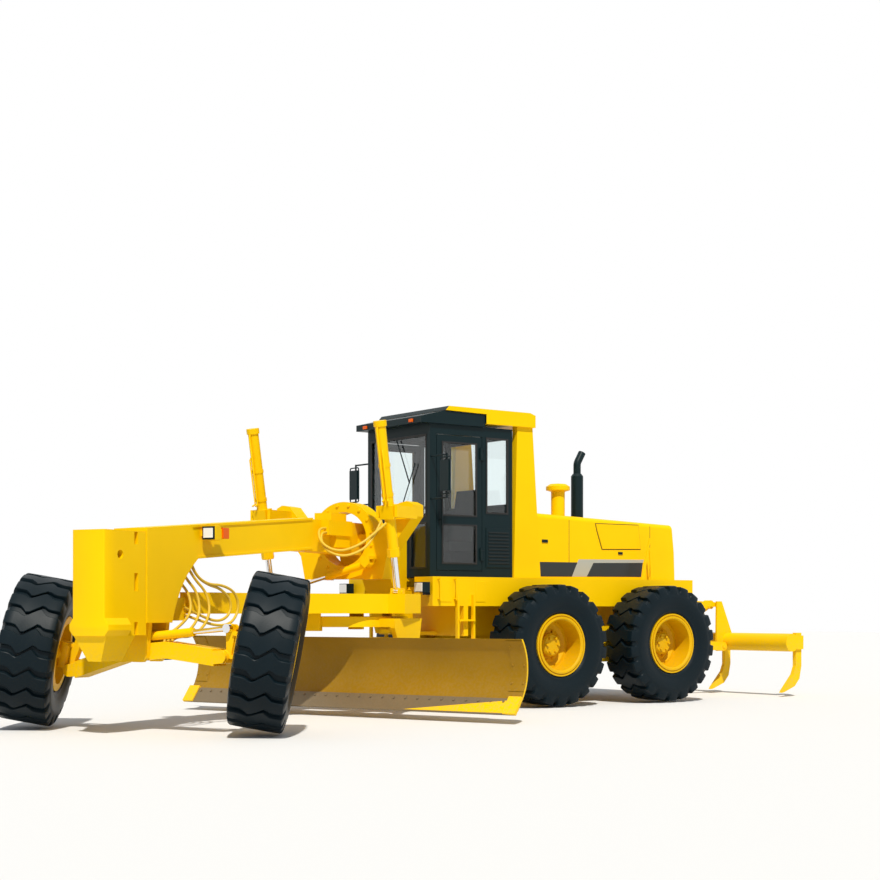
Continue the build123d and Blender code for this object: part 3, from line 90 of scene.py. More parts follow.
sun_data = bpy.data.lights.new("sun", "SUN")
sun_data.energy = 3.7
sun_data.angle = math.radians(1.5)
sun_data.color = (1, 0.96, 0.88)
sun = bpy.data.objects.new("sun", sun_data)
scene.collection.objects.link(sun)
sun.rotation_euler = (math.radians(38), 0, math.radians(150))

floor_half, floor_z = 60, -0.02
floor_mesh = bpy.data.meshes.new("floor")
floor_corners = [(x * floor_half, y * floor_half, floor_z) for x, y in ((-1, -1), (1, -1), (1, 1), (-1, 1))]
floor_mesh.from_pydata(floor_corners, [], [(0, 1, 2, 3)])
floor = bpy.data.objects.new("floor", floor_mesh)
scene.collection.objects.link(floor)
floor_material = bpy.data.materials.new("floor")
floor_material.use_nodes = True
floor_mesh.materials.append(floor_material)
floor_shader = floor_material.node_tree.nodes["Principled BSDF"]
floor_shader.inputs["Base Color"].default_value = (0.8, 0.8, 0.8, 1)
floor_shader.inputs["Roughness"].default_value = 0.9

# ---- Paint and dust ----
# Sprayed enamel over steel plate, with a little dust low down, broken into patches, and
# slight unevenness of the sprayed coat.


def group_socket(group, name, way, kind, value=None):
    """One named socket of a shader node group."""
    socket = group.interface.new_socket(name, in_out=way, socket_type=kind)
    if value is not None:
        socket.default_value = value
    return socket


def make_wear():
    """Node group: colour varied by two noises, dust below knee height, and a height for bump."""
    group = bpy.data.node_groups.new("wear", "ShaderNodeTree")
    group_socket(group, "Color", "INPUT", "NodeSocketColor", (0.8, 0.8, 0.8, 1))
    group_socket(group, "Dust", "INPUT", "NodeSocketColor", (0.35, 0.28, 0.2, 1))
    group_socket(group, "Scale", "INPUT", "NodeSocketFloat", 2.0)
    group_socket(group, "Variation", "INPUT", "NodeSocketFloat", 0.12)
    group_socket(group, "Dust Amount", "INPUT", "NodeSocketFloat", 0.3)
    group_socket(group, "Roughness", "INPUT", "NodeSocketFloat", 0.35)
    group_socket(group, "Color", "OUTPUT", "NodeSocketColor")
    group_socket(group, "Roughness", "OUTPUT", "NodeSocketFloat")
    group_socket(group, "Height", "OUTPUT", "NodeSocketFloat")
    nodes_, links = group.nodes, group.links
    given = nodes_.new("NodeGroupInput")
    out = nodes_.new("NodeGroupOutput")
    place = nodes_.new("ShaderNodeTexCoord")
    broad = nodes_.new("ShaderNodeTexNoise")
    broad.inputs["Detail"].default_value = 4
    links.new(place.outputs["Object"], broad.inputs["Vector"])
    links.new(given.outputs["Scale"], broad.inputs["Scale"])
    fine_scale = nodes_.new("ShaderNodeMath")
    fine_scale.operation = "MULTIPLY"
    fine_scale.inputs[1].default_value = 24
    links.new(given.outputs["Scale"], fine_scale.inputs[0])
    fine = nodes_.new("ShaderNodeTexNoise")
    fine.inputs["Detail"].default_value = 3
    links.new(place.outputs["Object"], fine.inputs["Vector"])
    links.new(fine_scale.outputs[0], fine.inputs["Scale"])
    # colour times 1 + variation * (noise - 0.5) * 2
    centred = nodes_.new("ShaderNodeMath")
    centred.operation = "SUBTRACT"
    centred.inputs[1].default_value = 0.5
    links.new(broad.outputs["Fac"], centred.inputs[0])
    spread = nodes_.new("ShaderNodeMath")
    spread.operation = "MULTIPLY"
    links.new(centred.outputs[0], spread.inputs[0])
    links.new(given.outputs["Variation"], spread.inputs[1])
    shade = nodes_.new("ShaderNodeMath")
    shade.operation = "ADD"
    shade.inputs[1].default_value = 1.0
    links.new(spread.outputs[0], shade.inputs[0])
    tinted = nodes_.new("ShaderNodeVectorMath")
    tinted.operation = "SCALE"
    links.new(given.outputs["Color"], tinted.inputs[0])
    links.new(shade.outputs[0], tinted.inputs["Scale"])
    # dust: strongest near the ground, broken up by the fine noise
    split = nodes_.new("ShaderNodeSeparateXYZ")
    links.new(place.outputs["Object"], split.inputs[0])
    low = nodes_.new("ShaderNodeMapRange")
    low.inputs["From Min"].default_value = 1.1
    low.inputs["From Max"].default_value = 0.0
    links.new(split.outputs["Z"], low.inputs["Value"])
    broken = nodes_.new("ShaderNodeMapRange")
    broken.inputs["From Min"].default_value = 0.4
    broken.inputs["From Max"].default_value = 0.65
    links.new(fine.outputs["Fac"], broken.inputs["Value"])
    dust = nodes_.new("ShaderNodeMath")
    dust.operation = "MULTIPLY"
    links.new(low.outputs[0], dust.inputs[0])
    links.new(broken.outputs[0], dust.inputs[1])
    dusty = nodes_.new("ShaderNodeMath")
    dusty.operation = "MULTIPLY"
    links.new(dust.outputs[0], dusty.inputs[0])
    links.new(given.outputs["Dust Amount"], dusty.inputs[1])
    mixed = nodes_.new("ShaderNodeMix")
    mixed.data_type = "RGBA"
    links.new(dusty.outputs[0], mixed.inputs["Factor"])
    links.new(tinted.outputs[0], mixed.inputs["A"])
    links.new(given.outputs["Dust"], mixed.inputs["B"])
    links.new(mixed.outputs["Result"], out.inputs["Color"])
    rough = nodes_.new("ShaderNodeMath")
    rough.operation = "MULTIPLY_ADD"
    rough.inputs[1].default_value = 0.5
    links.new(dusty.outputs[0], rough.inputs[0])
    links.new(given.outputs["Roughness"], rough.inputs[2])
    links.new(rough.outputs[0], out.inputs["Roughness"])
    links.new(fine.outputs["Fac"], out.inputs["Height"])
    return group


wear = make_wear()


def make_finish(name, colour, roughness, scale=1.5, variation=0.15, dust=0.3, metallic=0.0, bump=0.03,
                specular=0.4):
    """A material whose colour, roughness and surface vary through the wear group."""
    material = bpy.data.materials.new(name)
    material.use_nodes = True
    tree = material.node_tree
    shader = tree.nodes["Principled BSDF"]
    shader.inputs["Metallic"].default_value = metallic
    shader.inputs["Specular IOR Level"].default_value = specular
    group = tree.nodes.new("ShaderNodeGroup")
    group.node_tree = wear
    group.inputs["Color"].default_value = (*colour, 1)
    group.inputs["Scale"].default_value = scale
    group.inputs["Variation"].default_value = variation
    group.inputs["Dust Amount"].default_value = dust
    group.inputs["Roughness"].default_value = roughness
    tree.links.new(group.outputs["Color"], shader.inputs["Base Color"])
    tree.links.new(group.outputs["Roughness"], shader.inputs["Roughness"])
    lift = tree.nodes.new("ShaderNodeBump")
    lift.inputs["Strength"].default_value = bump
    lift.inputs["Distance"].default_value = 0.002
    tree.links.new(group.outputs["Height"], lift.inputs["Height"])
    tree.links.new(lift.outputs["Normal"], shader.inputs["Normal"])
    return material


yellow = make_finish("yellow enamel", (0.93, 0.57, 0.0), 0.42, specular=0.1)
black = make_finish("black enamel", (0.004, 0.014, 0.017), 0.4, dust=0.1, specular=0.14)
dark = make_finish("dark trim", (0.01, 0.016, 0.018), 0.5, specular=0.2)
rubber = make_finish("tyre rubber", (0.0022, 0.008, 0.012), 0.42, scale=3, variation=0.4, dust=0.012,
                     bump=0.25, specular=0.13)
steel = make_finish("worn steel", (0.35, 0.33, 0.3), 0.4, metallic=0.8, dust=0.2)
chrome = make_finish("plated rod", (0.8, 0.8, 0.82), 0.12, metallic=1.0, dust=0.05)
seat_cloth = make_finish("seat cloth", (0.03, 0.03, 0.032), 0.85, scale=10, bump=0.3)
hose_rubber = make_finish("hose rubber", (0.55, 0.45, 0.08), 0.5)
glass = bpy.data.materials.new("window glass")
glass.use_nodes = True
glass_shader = glass.node_tree.nodes["Principled BSDF"]
glass_shader.inputs["Base Color"].default_value = (0.9, 0.96, 0.96, 1)
glass_shader.inputs["Roughness"].default_value = 0.02
glass_shader.inputs["Transmission Weight"].default_value = 1
glass_shader.inputs["IOR"].default_value = 1.45
finishes = {
    "yellow": yellow,
    "dark": black,
    "glass": glass,
    "interior": seat_cloth,
    "chrome": chrome,
    "steel": steel,
    "hose": hose_rubber,
    "tyre": rubber,
}
for part in frame["record"]["subparts"]:
    mesh = nodes[part["node"]].data
    mesh.materials.clear()
    mesh.materials.append(finishes[part["material_slot"]])

# ---- Tyres ----
# Off-road tyres of moulded rubber: deep lugs, wide at the shoulders and nearly joined in the
# middle, where each groove jogs down and up again, on smooth bulging sidewalls.
LUGS = 22


def unit(v):
    """v scaled to length 1."""
    v = np.asarray(v, float)
    return v / np.linalg.norm(v)


def grid_faces(rows, columns, wrap_rows, wrap_columns):
    """Quads over a rows x columns grid of points, as an array of point numbers."""
    i = np.arange(rows if wrap_rows else rows - 1)[:, None]
    j = np.arange(columns if wrap_columns else columns - 1)[None, :]
    i2, j2 = (i + 1) % rows, (j + 1) % columns
    corners = (i * columns + j, i * columns + j2, i2 * columns + j2, i2 * columns + j)
    return np.stack([c.reshape(-1) for c in np.broadcast_arrays(*corners)], axis=1)


def add_mesh(name, points, faces, material, body, smooth=None):
    """A mesh piece from arrays, riding on a body; smooth is the angle in degrees kept soft."""
    mesh = bpy.data.meshes.new(name)
    mesh.from_pydata(np.asarray(points, float).tolist(), [], [list(map(int, f)) for f in faces])
    mesh.materials.append(material)
    mesh.update()
    obj = bpy.data.objects.new(name, mesh)
    scene.collection.objects.link(obj)
    if smooth is not None:
        mesh.shade_smooth()
        mesh.set_sharp_from_angle(angle=math.radians(smooth))
    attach(obj, body)
    return obj


def axis_frame(axis, up=(0, 0, 1)):
    """Two unit vectors square to an axis: level, then towards up."""
    axis = unit(axis)
    level = unit(np.cross(up, axis)) if abs(np.dot(axis, up)) < 0.99 else np.array([1.0, 0, 0])
    return level, np.cross(axis, level)


def tyre_points(centre, axis):
    """Tyre skin: point(s, a) = centre + w(s) axis + r(s, a) radial(a + zig(w) pitch), where s runs
    over the section and r and w blend from the groove's section to the lug's by the lug mask."""
    # (radius, half width) of the casing, then of the lug over it
    casing = np.array([(0.352, 0.205), (0.352, 0.229), (0.400, 0.232), (0.412, 0.247), (0.440, 0.263),
                       (0.452, 0.262), (0.500, 0.281), (0.560, 0.291), (0.610, 0.294), (0.640, 0.293),
                       (0.652, 0.289), (0.664, 0.288), (0.690, 0.272), (0.712, 0.262), (0.732, 0.247),
                       (0.738, 0.225), (0.740, 0.180), (0.741, 0.140), (0.742, 0.105), (0.743, 0.075),
                       (0.744, 0.040), (0.744, 0.0)])
    lug = casing.copy()
    lug[12:] = [(0.697, 0.284), (0.740, 0.278), (0.768, 0.266), (0.777, 0.250), (0.779, 0.180),
                (0.7795, 0.140), (0.780, 0.105), (0.780, 0.075), (0.780, 0.040), (0.780, 0.0)]
    sides = np.r_[np.ones(len(casing)), -np.ones(len(casing) - 1)]
    casing = np.r_[casing, casing[-2::-1]]
    lug = np.r_[lug, lug[-2::-1]]
    w = casing[:, 1] * sides
    # the groove's jog and half width, in pitches, across the tread
    at = np.array([-0.30, -0.15, -0.065, 0.08, 0.15, 0.30])
    jog = np.interp(w, at, [0, 0, 0.27, -0.25, 0, 0])
    half = np.interp(np.abs(w), [0, 0.06, 0.12, 0.30], [0.07, 0.07, 0.17, 0.19])
    # one pitch: from the middle of one groove over its wall, the lug and the next wall
    foot, shoulder = half * 0.72, half + 0.03
    share = np.stack([0 * half, foot, half, shoulder, 0.5 + 0 * half, 1 - half - 0.03, 1 - half, 1 - foot],
                     axis=1)
    mask = np.array([0.0, 0.0, 0.88, 1.0, 1.0, 1.0, 0.88, 0.0])
    turn = (np.arange(LUGS)[None, :, None] + share[:, None, :] + jog[:, None, None]) * 2 * math.pi / LUGS
    turn = turn.reshape(len(w), -1)
    mask = np.tile(mask, LUGS)[None, :]
    radius = casing[:, :1] + (lug[:, :1] - casing[:, :1]) * mask
    width = (casing[:, 1:] + (lug[:, 1:] - casing[:, 1:]) * mask) * sides[:, None]
    level, up = axis_frame(axis)
    axis = unit(axis)
    return (np.asarray(centre) + width[..., None] * axis
            + radius[..., None] * (np.cos(turn)[..., None] * level + np.sin(turn)[..., None] * up))


wheel_places = {}
for joint in frame["joints"]:
    if joint["name"].endswith("_spin"):
        body = joint["name"].removesuffix("_spin")
        axis = np.array(joint["axis"], float)
        wheel_places[body] = (np.array(joint["pos_m"], float), unit(axis if axis[1] > 0 else -axis))
for body, (centre, axis) in wheel_places.items():
    wheel = body.removeprefix("wheel_")
    skin = tyre_points(centre, axis)
    rows, columns = skin.shape[:2]
    faces = grid_faces(rows, columns, True, True)
    tyre = add_mesh("lugged_" + wheel, skin.reshape(-1, 3), faces, rubber, body, smooth=32)
    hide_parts("tyre_" + wheel)

# ---- Rear rims ----
# Pressed steel rims of the driven wheels: flange, lock ring in its groove, a deep barrel, and far
# inside it a dished disc that is bolted round the end of the axle's hub.


def lathe(name, loops, centre, axis, material, body, steps=56):
    """Rings about the axis: point(s, t) = centre + w(s) axis + r(s) (cos t u + sin t v) for each
    profile of (r, w). A profile that starts and ends at r = 0 is closed there, others into a loop."""
    u, v = axis_frame(axis)
    t = np.arange(steps) * 2 * math.pi / steps
    ring = np.cos(t)[:, None] * u + np.sin(t)[:, None] * v
    points, faces = [], []
    for loop in loops:
        loop = np.asarray(loop, float)
        poles = loop[0, 0] == 0
        rows = loop[1:-1] if poles else loop
        base = len(points)
        points.extend((centre + rows[:, None, 1:] * unit(axis) + rows[:, None, :1] * ring).reshape(-1, 3))
        faces.extend(tuple(f + base) for f in grid_faces(len(rows), steps, not poles, True))
        if poles:
            last = base + (len(rows) - 1) * steps
            points.extend((centre + loop[0, 1] * unit(axis), centre + loop[-1, 1] * unit(axis)))
            for k in range(steps):
                after = (k + 1) % steps
                faces.append((len(points) - 2, base + after, base + k))
                faces.append((len(points) - 1, last + k, last + after))
    return add_mesh(name, points, faces, material, body, smooth=30)


# (radius, distance outwards) round the barrel with its flanges, the disc and the hub's cap
rim_loop = [(0.3247, -0.2553), (0.4, -0.2553), (0.4, -0.2303), (0.3447, -0.2303), (0.3447, 0.2303),
            (0.4, 0.2303), (0.4, 0.2553), (0.38, 0.2553), (0.38, 0.2413), (0.366, 0.2413), (0.366, 0.262),
            (0.341, 0.262), (0.3247, 0.25)]
disc_loop = [(0.149, -0.078), (0.235, -0.078), (0.275, -0.045), (0.3247, -0.045), (0.3247, -0.02),
             (0.285, -0.02), (0.235, -0.05), (0.149, -0.05)]
cap_loop = [(0, 0.0425), (0.133, 0.0425), (0.133, -0.079), (0.15, -0.079), (0.15, 0.05), (0.125, 0.075),
            (0, 0.075)]
# The rims' enamel is a darker ochre than the body's yellow. This is painted shade, for the shade that falls inside
# the deep rims.
shade_darkened_rim_paint = make_finish("rim enamel", (0.7, 0.4, 0.0), 0.4, variation=0.3, dust=0.12, specular=0.12)
for body, (centre, axis) in wheel_places.items():
    if "rear" in body:
        wheel = body.removeprefix("wheel_")
        outward = axis if "left" in body else -axis
        rim = lathe(f"rim_{wheel}_pressed", [rim_loop, disc_loop, cap_loop], centre, outward, shade_darkened_rim_paint, body)
        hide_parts("rim_" + wheel)

# ---- Wheel bolts ----
# Hexagon bolts that hold each wheel's disc to its hub, on a circle round the hub cap, with
# a smaller circle on the cap itself.


def bolt_heads(name, seats, axes, material, body, radius, height):
    """Hexagon heads: head k has corners seat_k + radius (cos t u + sin t v), raised by height along
    its axis, and a top drawn in by a fifth."""
    points, faces = [], []
    for seat, axis in zip(np.asarray(seats, float), np.asarray(axes, float)):
        u, v = axis_frame(axis)
        t = np.arange(6) * math.pi / 3
        ring = np.cos(t)[:, None] * u + np.sin(t)[:, None] * v
        base = len(points)
        for size, rise in ((radius, -0.002), (radius, height * 0.75), (radius * 0.82, height)):
            points.extend(seat + size * ring + rise * axis)
        for row in (0, 1):
            for k in range(6):
                a, b = base + row * 6 + k, base + row * 6 + (k + 1) % 6
                faces.append((a, b, b + 6, a + 6))
        faces.append(tuple(base + 12 + k for k in range(6)))
        faces.append(tuple(base + 5 - k for k in range(6)))
    return add_mesh(name, points, faces, material, body)


disc_circle, cap_circle, wheel_bolts = 0.2, 0.095, 12
for body, (centre, axis) in wheel_places.items():
    outward = axis if "left" in body else -axis
    level, up = axis_frame(outward)
    disc_face, cap_face = (-0.05, 0.075) if "rear" in body else (0.07, 0.18)
    t = np.arange(wheel_bolts) * math.pi / 6
    ring = np.cos(t)[:, None] * level + np.sin(t)[:, None] * up
    seats = np.r_[centre + disc_face * outward + disc_circle * ring,
                  (centre + cap_face * outward + cap_circle * ring)[::2]]
    # The bolts take the rims' darker enamel, which is painted shade.
    bolt_heads("bolts_" + body.removeprefix("wheel_"), seats, [outward] * len(seats), shade_darkened_rim_paint, body,
               radius=0.02, height=0.026)

# ---- Lamps ----
# Two headlamps on brackets of the main beam: yellow steel boxes with a black rim and a clear lens,
# each with an amber indicator behind it. Amber clearance lamps are screwed to the front of the
# cab's visor, and the work lamps by the deck have clear lenses.
clear_lens = make_finish("clear lens", (0.82, 0.84, 0.84), 0.08, variation=0.05, dust=0.1)
amber_lens = make_finish("amber lens", (0.8, 0.12, 0.002), 0.2, variation=0.08, dust=0.05, specular=0.15)


def plate(name, outline, low, high, material, body, origin=(0, 0, 0), turn=0, across="y",
          chamfer=0.004):
    """A flat piece with bevelled edges: the outline (two coordinates) at low and high along the
    third, drawn in by the chamfer at both faces, then turned about z by turn degrees."""
    outline = np.asarray(outline, float)
    area = np.sum(outline[:, 0] * np.roll(outline[:, 1], -1) - outline[:, 1] * np.roll(outline[:, 0], -1))
    if (area < 0) != (across == "y"):
        outline = outline[::-1]
    step = np.roll(outline, -1, axis=0) - outline
    step /= np.linalg.norm(step, axis=1)[:, None]
    before = np.roll(step, 1, axis=0)
    half = unit_rows(step - before)
    bend = np.abs(np.cross(before, step))
    corner = np.maximum(np.sqrt((1 + np.sum(before * step, axis=1)) / 2), 0.3)
    inner = outline + half * (chamfer / corner)[:, None]
    inner = np.where(bend[:, None] < 1e-6, outline, inner)
    loops = [(inner, low), (outline, low + chamfer), (outline, high - chamfer), (inner, high)]
    order = {"x": (2, 0, 1), "y": (0, 2, 1), "z": (0, 1, 2)}[across]
    points = np.concatenate([np.c_[loop, np.full(len(loop), at)] for loop, at in loops])[:, order]
    n = len(outline)
    faces = [(r * n + k, r * n + (k + 1) % n, (r + 1) * n + (k + 1) % n, (r + 1) * n + k) for r in range(3)
             for k in range(n)]
    faces += [tuple(range(n - 1, -1, -1)), tuple(range(3 * n, 4 * n))]
    angle = math.radians(turn)
    cos, sin = math.cos(angle), math.sin(angle)
    spin = np.array([(cos, sin, 0), (-sin, cos, 0), (0, 0, 1)])
    return add_mesh(name, points @ spin + np.asarray(origin), faces, material, body)


def unit_rows(v):
    """Each row of v scaled to length 1, or left at 0."""
    size = np.linalg.norm(v, axis=1)
    return v / np.where(size < 1e-9, 1, size)[:, None]


def rectangle(a0, a1, b0, b1):
    """Corners of a rectangle in two coordinates."""
    return [(a0, b0), (a1, b0), (a1, b1), (a0, b1)]


def side_span(hand, near, far):
    """The stretch from near to far off the middle, on the left (1) or right (-1), low end first."""
    return sorted((hand * near, hand * far))


# the front half turns about a pin this far ahead, and stands turned by this much
hinge_x, front_turn = 2.442, 25
front_place = {"origin": (hinge_x, 0, 0), "turn": front_turn}
hands = ((1, "left"), (-1, "right"))
# name, distances from the beam's middle, stations along it, heights, material
beam_lamps = [
    ("bracket", (0.199, 0.25), (4.49, 4.54), (2.01, 2.06), yellow),
    ("headlamp", (0.24, 0.41), (4.47, 4.57), (1.965, 2.115), yellow),
    ("headlamp_rim", (0.246, 0.404), (4.569, 4.58), (1.971, 2.109), black),
    ("lens", (0.264, 0.386), (4.579, 4.588), (1.989, 2.091), clear_lens),
    ("indicator_foot", (0.28, 0.38), (4.41, 4.472), (1.985, 2.085), yellow),
    ("indicator", (0.274, 0.4), (4.31, 4.412), (1.985, 2.1), amber_lens),
]
# name, distances from the cab's middle, heights, stations, material
cab_lamps = [
    ("work_lens", (0.775, 0.945), (1.46, 1.57), (2.751, 2.76), clear_lens),
    ("clearance", (0.48, 0.56), (3.615, 3.655), (2.618, 2.64), amber_lens),
]
for hand, side_name in hands:
    for piece_name, sideways, along_beam, heights, material in beam_lamps:
        piece = plate(f"{piece_name}_{side_name}", rectangle(*along_beam, *heights),
                      *side_span(hand, *sideways), material, "front", chamfer=0.003, **front_place)
        if piece_name == "headlamp" and hand > 0:
            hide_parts("headlamps")
    for piece_name, sideways, heights, stations, material in cab_lamps:
        plate(f"{piece_name}_{side_name}", rectangle(*side_span(hand, *sideways), *heights), *stations,
              material, "rear", across="x")

# ---- Hood panels and stripe ----
# Pressed steel doors on the engine hood, lying a few millimetres proud, with a dark band of
# film along each side, broken by a pale slanted stripe, and black flush latches.
stripe_grey = make_finish("pale grey film", (0.38, 0.4, 0.37), 0.4, variation=0.05, dust=0.2)
band_black = make_finish("dark film", (0.015, 0.02, 0.022), 0.35, variation=0.1, dust=0.2)
seam_dark = make_finish("shadowed seam", (0.09, 0.055, 0.004), 0.7, variation=0.1)
# name, outline of (x, z), how far proud, material
hood_pieces = [
    ("band_fore", [(0.99, 1.675), (0.99, 1.872), (-0.1, 1.878), (0.0, 1.683)], 0.004, band_black),
    ("band_aft", [(-0.27, 1.687), (-0.39, 1.876), (-1.32, 1.892), (-1.285, 1.694)], 0.004, band_black),
    ("stripe", [(0.0, 1.683), (-0.125, 1.92), (-1.34, 1.936), (-1.32, 1.892), (-0.39, 1.876),
                (-0.27, 1.687)], 0.003, stripe_grey),
    ("panel_seam", [(-0.42, 2.424), (-0.45, 2.31), (-0.545, 2.06), (-1.278, 2.076), (-1.235, 2.426)], 0.003,
     seam_dark),
    ("hood_panel", [(-0.433, 2.413), (-0.461, 2.315), (-0.553, 2.071), (-1.266, 2.087), (-1.225, 2.415)],
     0.012, yellow),
    ("hood_seam_fore", rectangle(0.044, 0.052, 1.69, 2.45), 0.002, seam_dark),
    ("hood_seam_aft", rectangle(-1.46, -1.452, 1.69, 2.41), 0.002, seam_dark),
    ("hood_latch", rectangle(0.43, 0.53, 2.135, 2.175), 0.012, black),
    ("hood_latch_aft", rectangle(-0.93, -0.85, 2.0, 2.035), 0.012, black),
]
hood_half, sunk = 0.6, 0.598
for piece_name, outline, proud, material in hood_pieces:
    for hand, side_name in hands:
        plate(f"{piece_name}_{side_name}", outline, *side_span(hand, sunk, hood_half + proud), material,
              "rear", chamfer=0.001)

# ---- Hood rails ----
# A braced flat-bar rail on the deck beside the radiator end of the hood, one on each side: a long
# slanted bar and a short stay, cut from steel flat and welded to the deck plate.
# name, outline of (x, z)
rail_bars = [
    ("rail_fore", [(-1.15, 1.649), (-1.19, 1.649), (-1.33, 2.235), (-1.3, 2.235)]),
    ("rail_aft", [(-1.335, 1.649), (-1.375, 1.649), (-1.325, 2.1), (-1.295, 2.1)]),
]
for bar_name, outline in rail_bars:
    for hand, side_name in hands:
        plate(f"{bar_name}_{side_name}", outline, *side_span(hand, 0.742, 0.758), yellow, "rear",
              chamfer=0.002)

# ---- Cab trim ----
# Black rubber gaskets round the panes, a louvred steel panel behind each door and a wiper on the
# windscreen. Each mirror's glass is let into the back of its housing, inside a guard of bent rod.
gasket = make_finish("window rubber", (0.012, 0.012, 0.012), 0.6, variation=0.2)
mirror_glass = make_finish("mirror glass", (0.75, 0.8, 0.82), 0.05, metallic=1.0, dust=0.05)


def frame_strip(name, a0, a1, b0, b1, wide, low, high, material, body, across):
    """A rectangular frame: the outline's four sides, wide across, from low to high."""
    outer = np.array(rectangle(a0, a1, b0, b1))
    inner = np.array(rectangle(a0 + wide, a1 - wide, b0 + wide, b1 - wide))
    order = {"x": (2, 0, 1), "y": (0, 2, 1)}[across]
    loops = [(outer, low), (outer, high), (inner, high), (inner, low)]
    points = np.concatenate([np.c_[loop, np.full(4, at)] for loop, at in loops])[:, order]
    quads = grid_faces(4, 4, True, True)
    if across == "x":
        quads = quads[:, ::-1]
    return add_mesh(name, points, quads, material, body)


def pipe(name, points, radius, material, body, steps=10):
    """A round pipe: circle of the radius carried along straight legs, its planes halving each bend."""
    points = np.asarray(points, float)
    ways = unit_rows(np.diff(points, axis=0))
    ways = np.r_[ways[:1], unit_rows(ways[1:] + ways[:-1]), ways[-1:]]
    u = unit_rows(np.cross(ways, (0.3, 0.5, 0.81)))
    v = np.cross(ways, u)
    t = np.arange(steps) * 2 * math.pi / steps
    circle = np.cos(t)[None, :, None] * u[:, None] + np.sin(t)[None, :, None] * v[:, None]
    grid = points[:, None] + radius * circle
    faces = [tuple(f) for f in grid_faces(len(points), steps, False, True)]
    faces += [tuple(range(steps)), tuple(range(len(points) * steps - 1, (len(points) - 1) * steps - 1, -1))]
    return add_mesh(name, grid.reshape(-1, 3), [f[::-1] for f in faces], material, body, smooth=40)


# name, outline's ends and heights, width; the first is on the cab, the others on the door
side_gaskets = [
    ("quarter_gasket", (1.19, 1.56, 2.48, 3.47), 0.022),
    ("door_gasket_high", (1.708, 2.272, 2.43, 3.382), 0.02),
    ("door_gasket_low", (1.708, 2.272, 1.818, 2.33), 0.02),
]
slats, slat_low, slat_pitch, slat_height = 10, 1.83, 0.044, 0.02
# (distance from the middle, height) round the mirror's guard
guard_corners = [(0.93, 2.70), (0.93, 3.13), (0.945, 3.145), (1.115, 3.145), (1.13, 3.13), (1.13, 2.70),
                 (1.115, 2.685), (0.945, 2.685), (0.93, 2.70)]
guard_x, guard_radius = 2.458, 0.009
front_gasket = (2.452, 2.466)
for hand, side_name in hands:
    for gasket_name, outline, wide in side_gaskets:
        body = "door_" + side_name if "door" in gasket_name else "rear"
        frame_strip(f"{gasket_name}_{side_name}", *outline, wide, *side_span(hand, 0.69, 0.708), gasket, body,
                    "y")
    plate("vent_panel_" + side_name, rectangle(1.16, 1.56, 1.78, 2.3), *side_span(hand, 0.698, 0.712), black,
          "rear")
    for k in range(slats):
        z = slat_low + slat_pitch * k
        plate(f"vent_slat_{side_name}_{k}", rectangle(1.19, 1.53, z, z + slat_height),
              *side_span(hand, 0.71, 0.722), dark, "rear", chamfer=0.003)
    plate("mirror_glass_" + side_name, rectangle(*side_span(hand, 0.945, 1.115), 2.725, 3.105), 2.432, 2.441,
          mirror_glass, "rear", across="x", chamfer=0.002)
    pipe("mirror_guard_" + side_name, [(guard_x, hand * y, z) for y, z in guard_corners], guard_radius,
         black, "rear", steps=8)
    frame_strip("low_pane_gasket_" + side_name, *side_span(hand, 0.262, 0.628), 1.762, 2.348, 0.02,
                *front_gasket, gasket, "rear", "x")
frame_strip("windscreen_gasket", -0.628, 0.628, 2.422, 3.468, 0.024, *front_gasket, gasket, "rear", "x")
plate("wiper_arm", [(-0.02, 3.44), (0.0, 3.44), (0.29, 2.86), (0.27, 2.85)], 2.472, 2.48, black, "rear",
      across="x", chamfer=0.002)
plate("wiper_blade", [(0.12, 2.62), (0.14, 2.62), (0.4, 3.1), (0.385, 3.11)], 2.466, 2.474, black, "rear",
      across="x", chamfer=0.002)

# ---- Blade ----
# Moldboard of rolled plate, polished and rusty from the earth that rolls in it. Its brown is also darkened as
# painted shade, for the shade the machine casts on the blade. Its end plates and the hardened cutting edge along
# its foot are held by rows of plough bolts.
# Bare rusty steel whose brown is made darker as painted shade. It covers the moldboard's hollow, the end plates
# and their bolts.
scoured_and_shaded = make_finish("scoured plate", (0.34, 0.185, 0.008), 0.42, scale=1.2, variation=0.55, dust=0.12,
                      metallic=0.2, specular=0.15)
edge_steel = make_finish("edge steel", (0.2, 0.15, 0.085), 0.42, scale=2, variation=0.3, dust=0.1,
                         metallic=0.4)
# the circle stands this far ahead of the hinge, turned back by 6 degrees, with the blade slid aside
circle_x, circle_turn, blade_slid = 1.55, -6, 0.5
blade_turn = math.radians(front_turn + circle_turn)
beam_turn = math.radians(front_turn)
blade_origin = np.array([hinge_x + circle_x * math.cos(beam_turn), circle_x * math.sin(beam_turn), 0])
blade_origin = blade_origin + blade_slid * np.array([-math.sin(blade_turn), math.cos(blade_turn), 0])
# centre of the moldboard's curve in (x, z), and the radii of an end plate's face and back
board_centre = np.array([0.8606, 0.5796])
plate_face, plate_back = 0.513, 0.5195


def blade_point(x, y, z):
    """A point of the blade's own frame in the row frame: turned by the blade's angle and set there."""
    return blade_origin + np.array([x * math.cos(blade_turn) - y * math.sin(blade_turn),
                                    x * math.sin(blade_turn) + y * math.cos(blade_turn), z])


edge_tip_x, edge_tip_z, edge_lean = 0.610, 0.092, math.radians(38)


def edge_spot(along, proud):
    """(x, z) up the cutting edge's face and in front of it: tip + along (-sin, cos) + proud (cos, sin)
    of the edge's lean."""
    return (edge_tip_x - math.sin(edge_lean) * along + math.cos(edge_lean) * proud,
            edge_tip_z + math.cos(edge_lean) * along + math.sin(edge_lean) * proud)


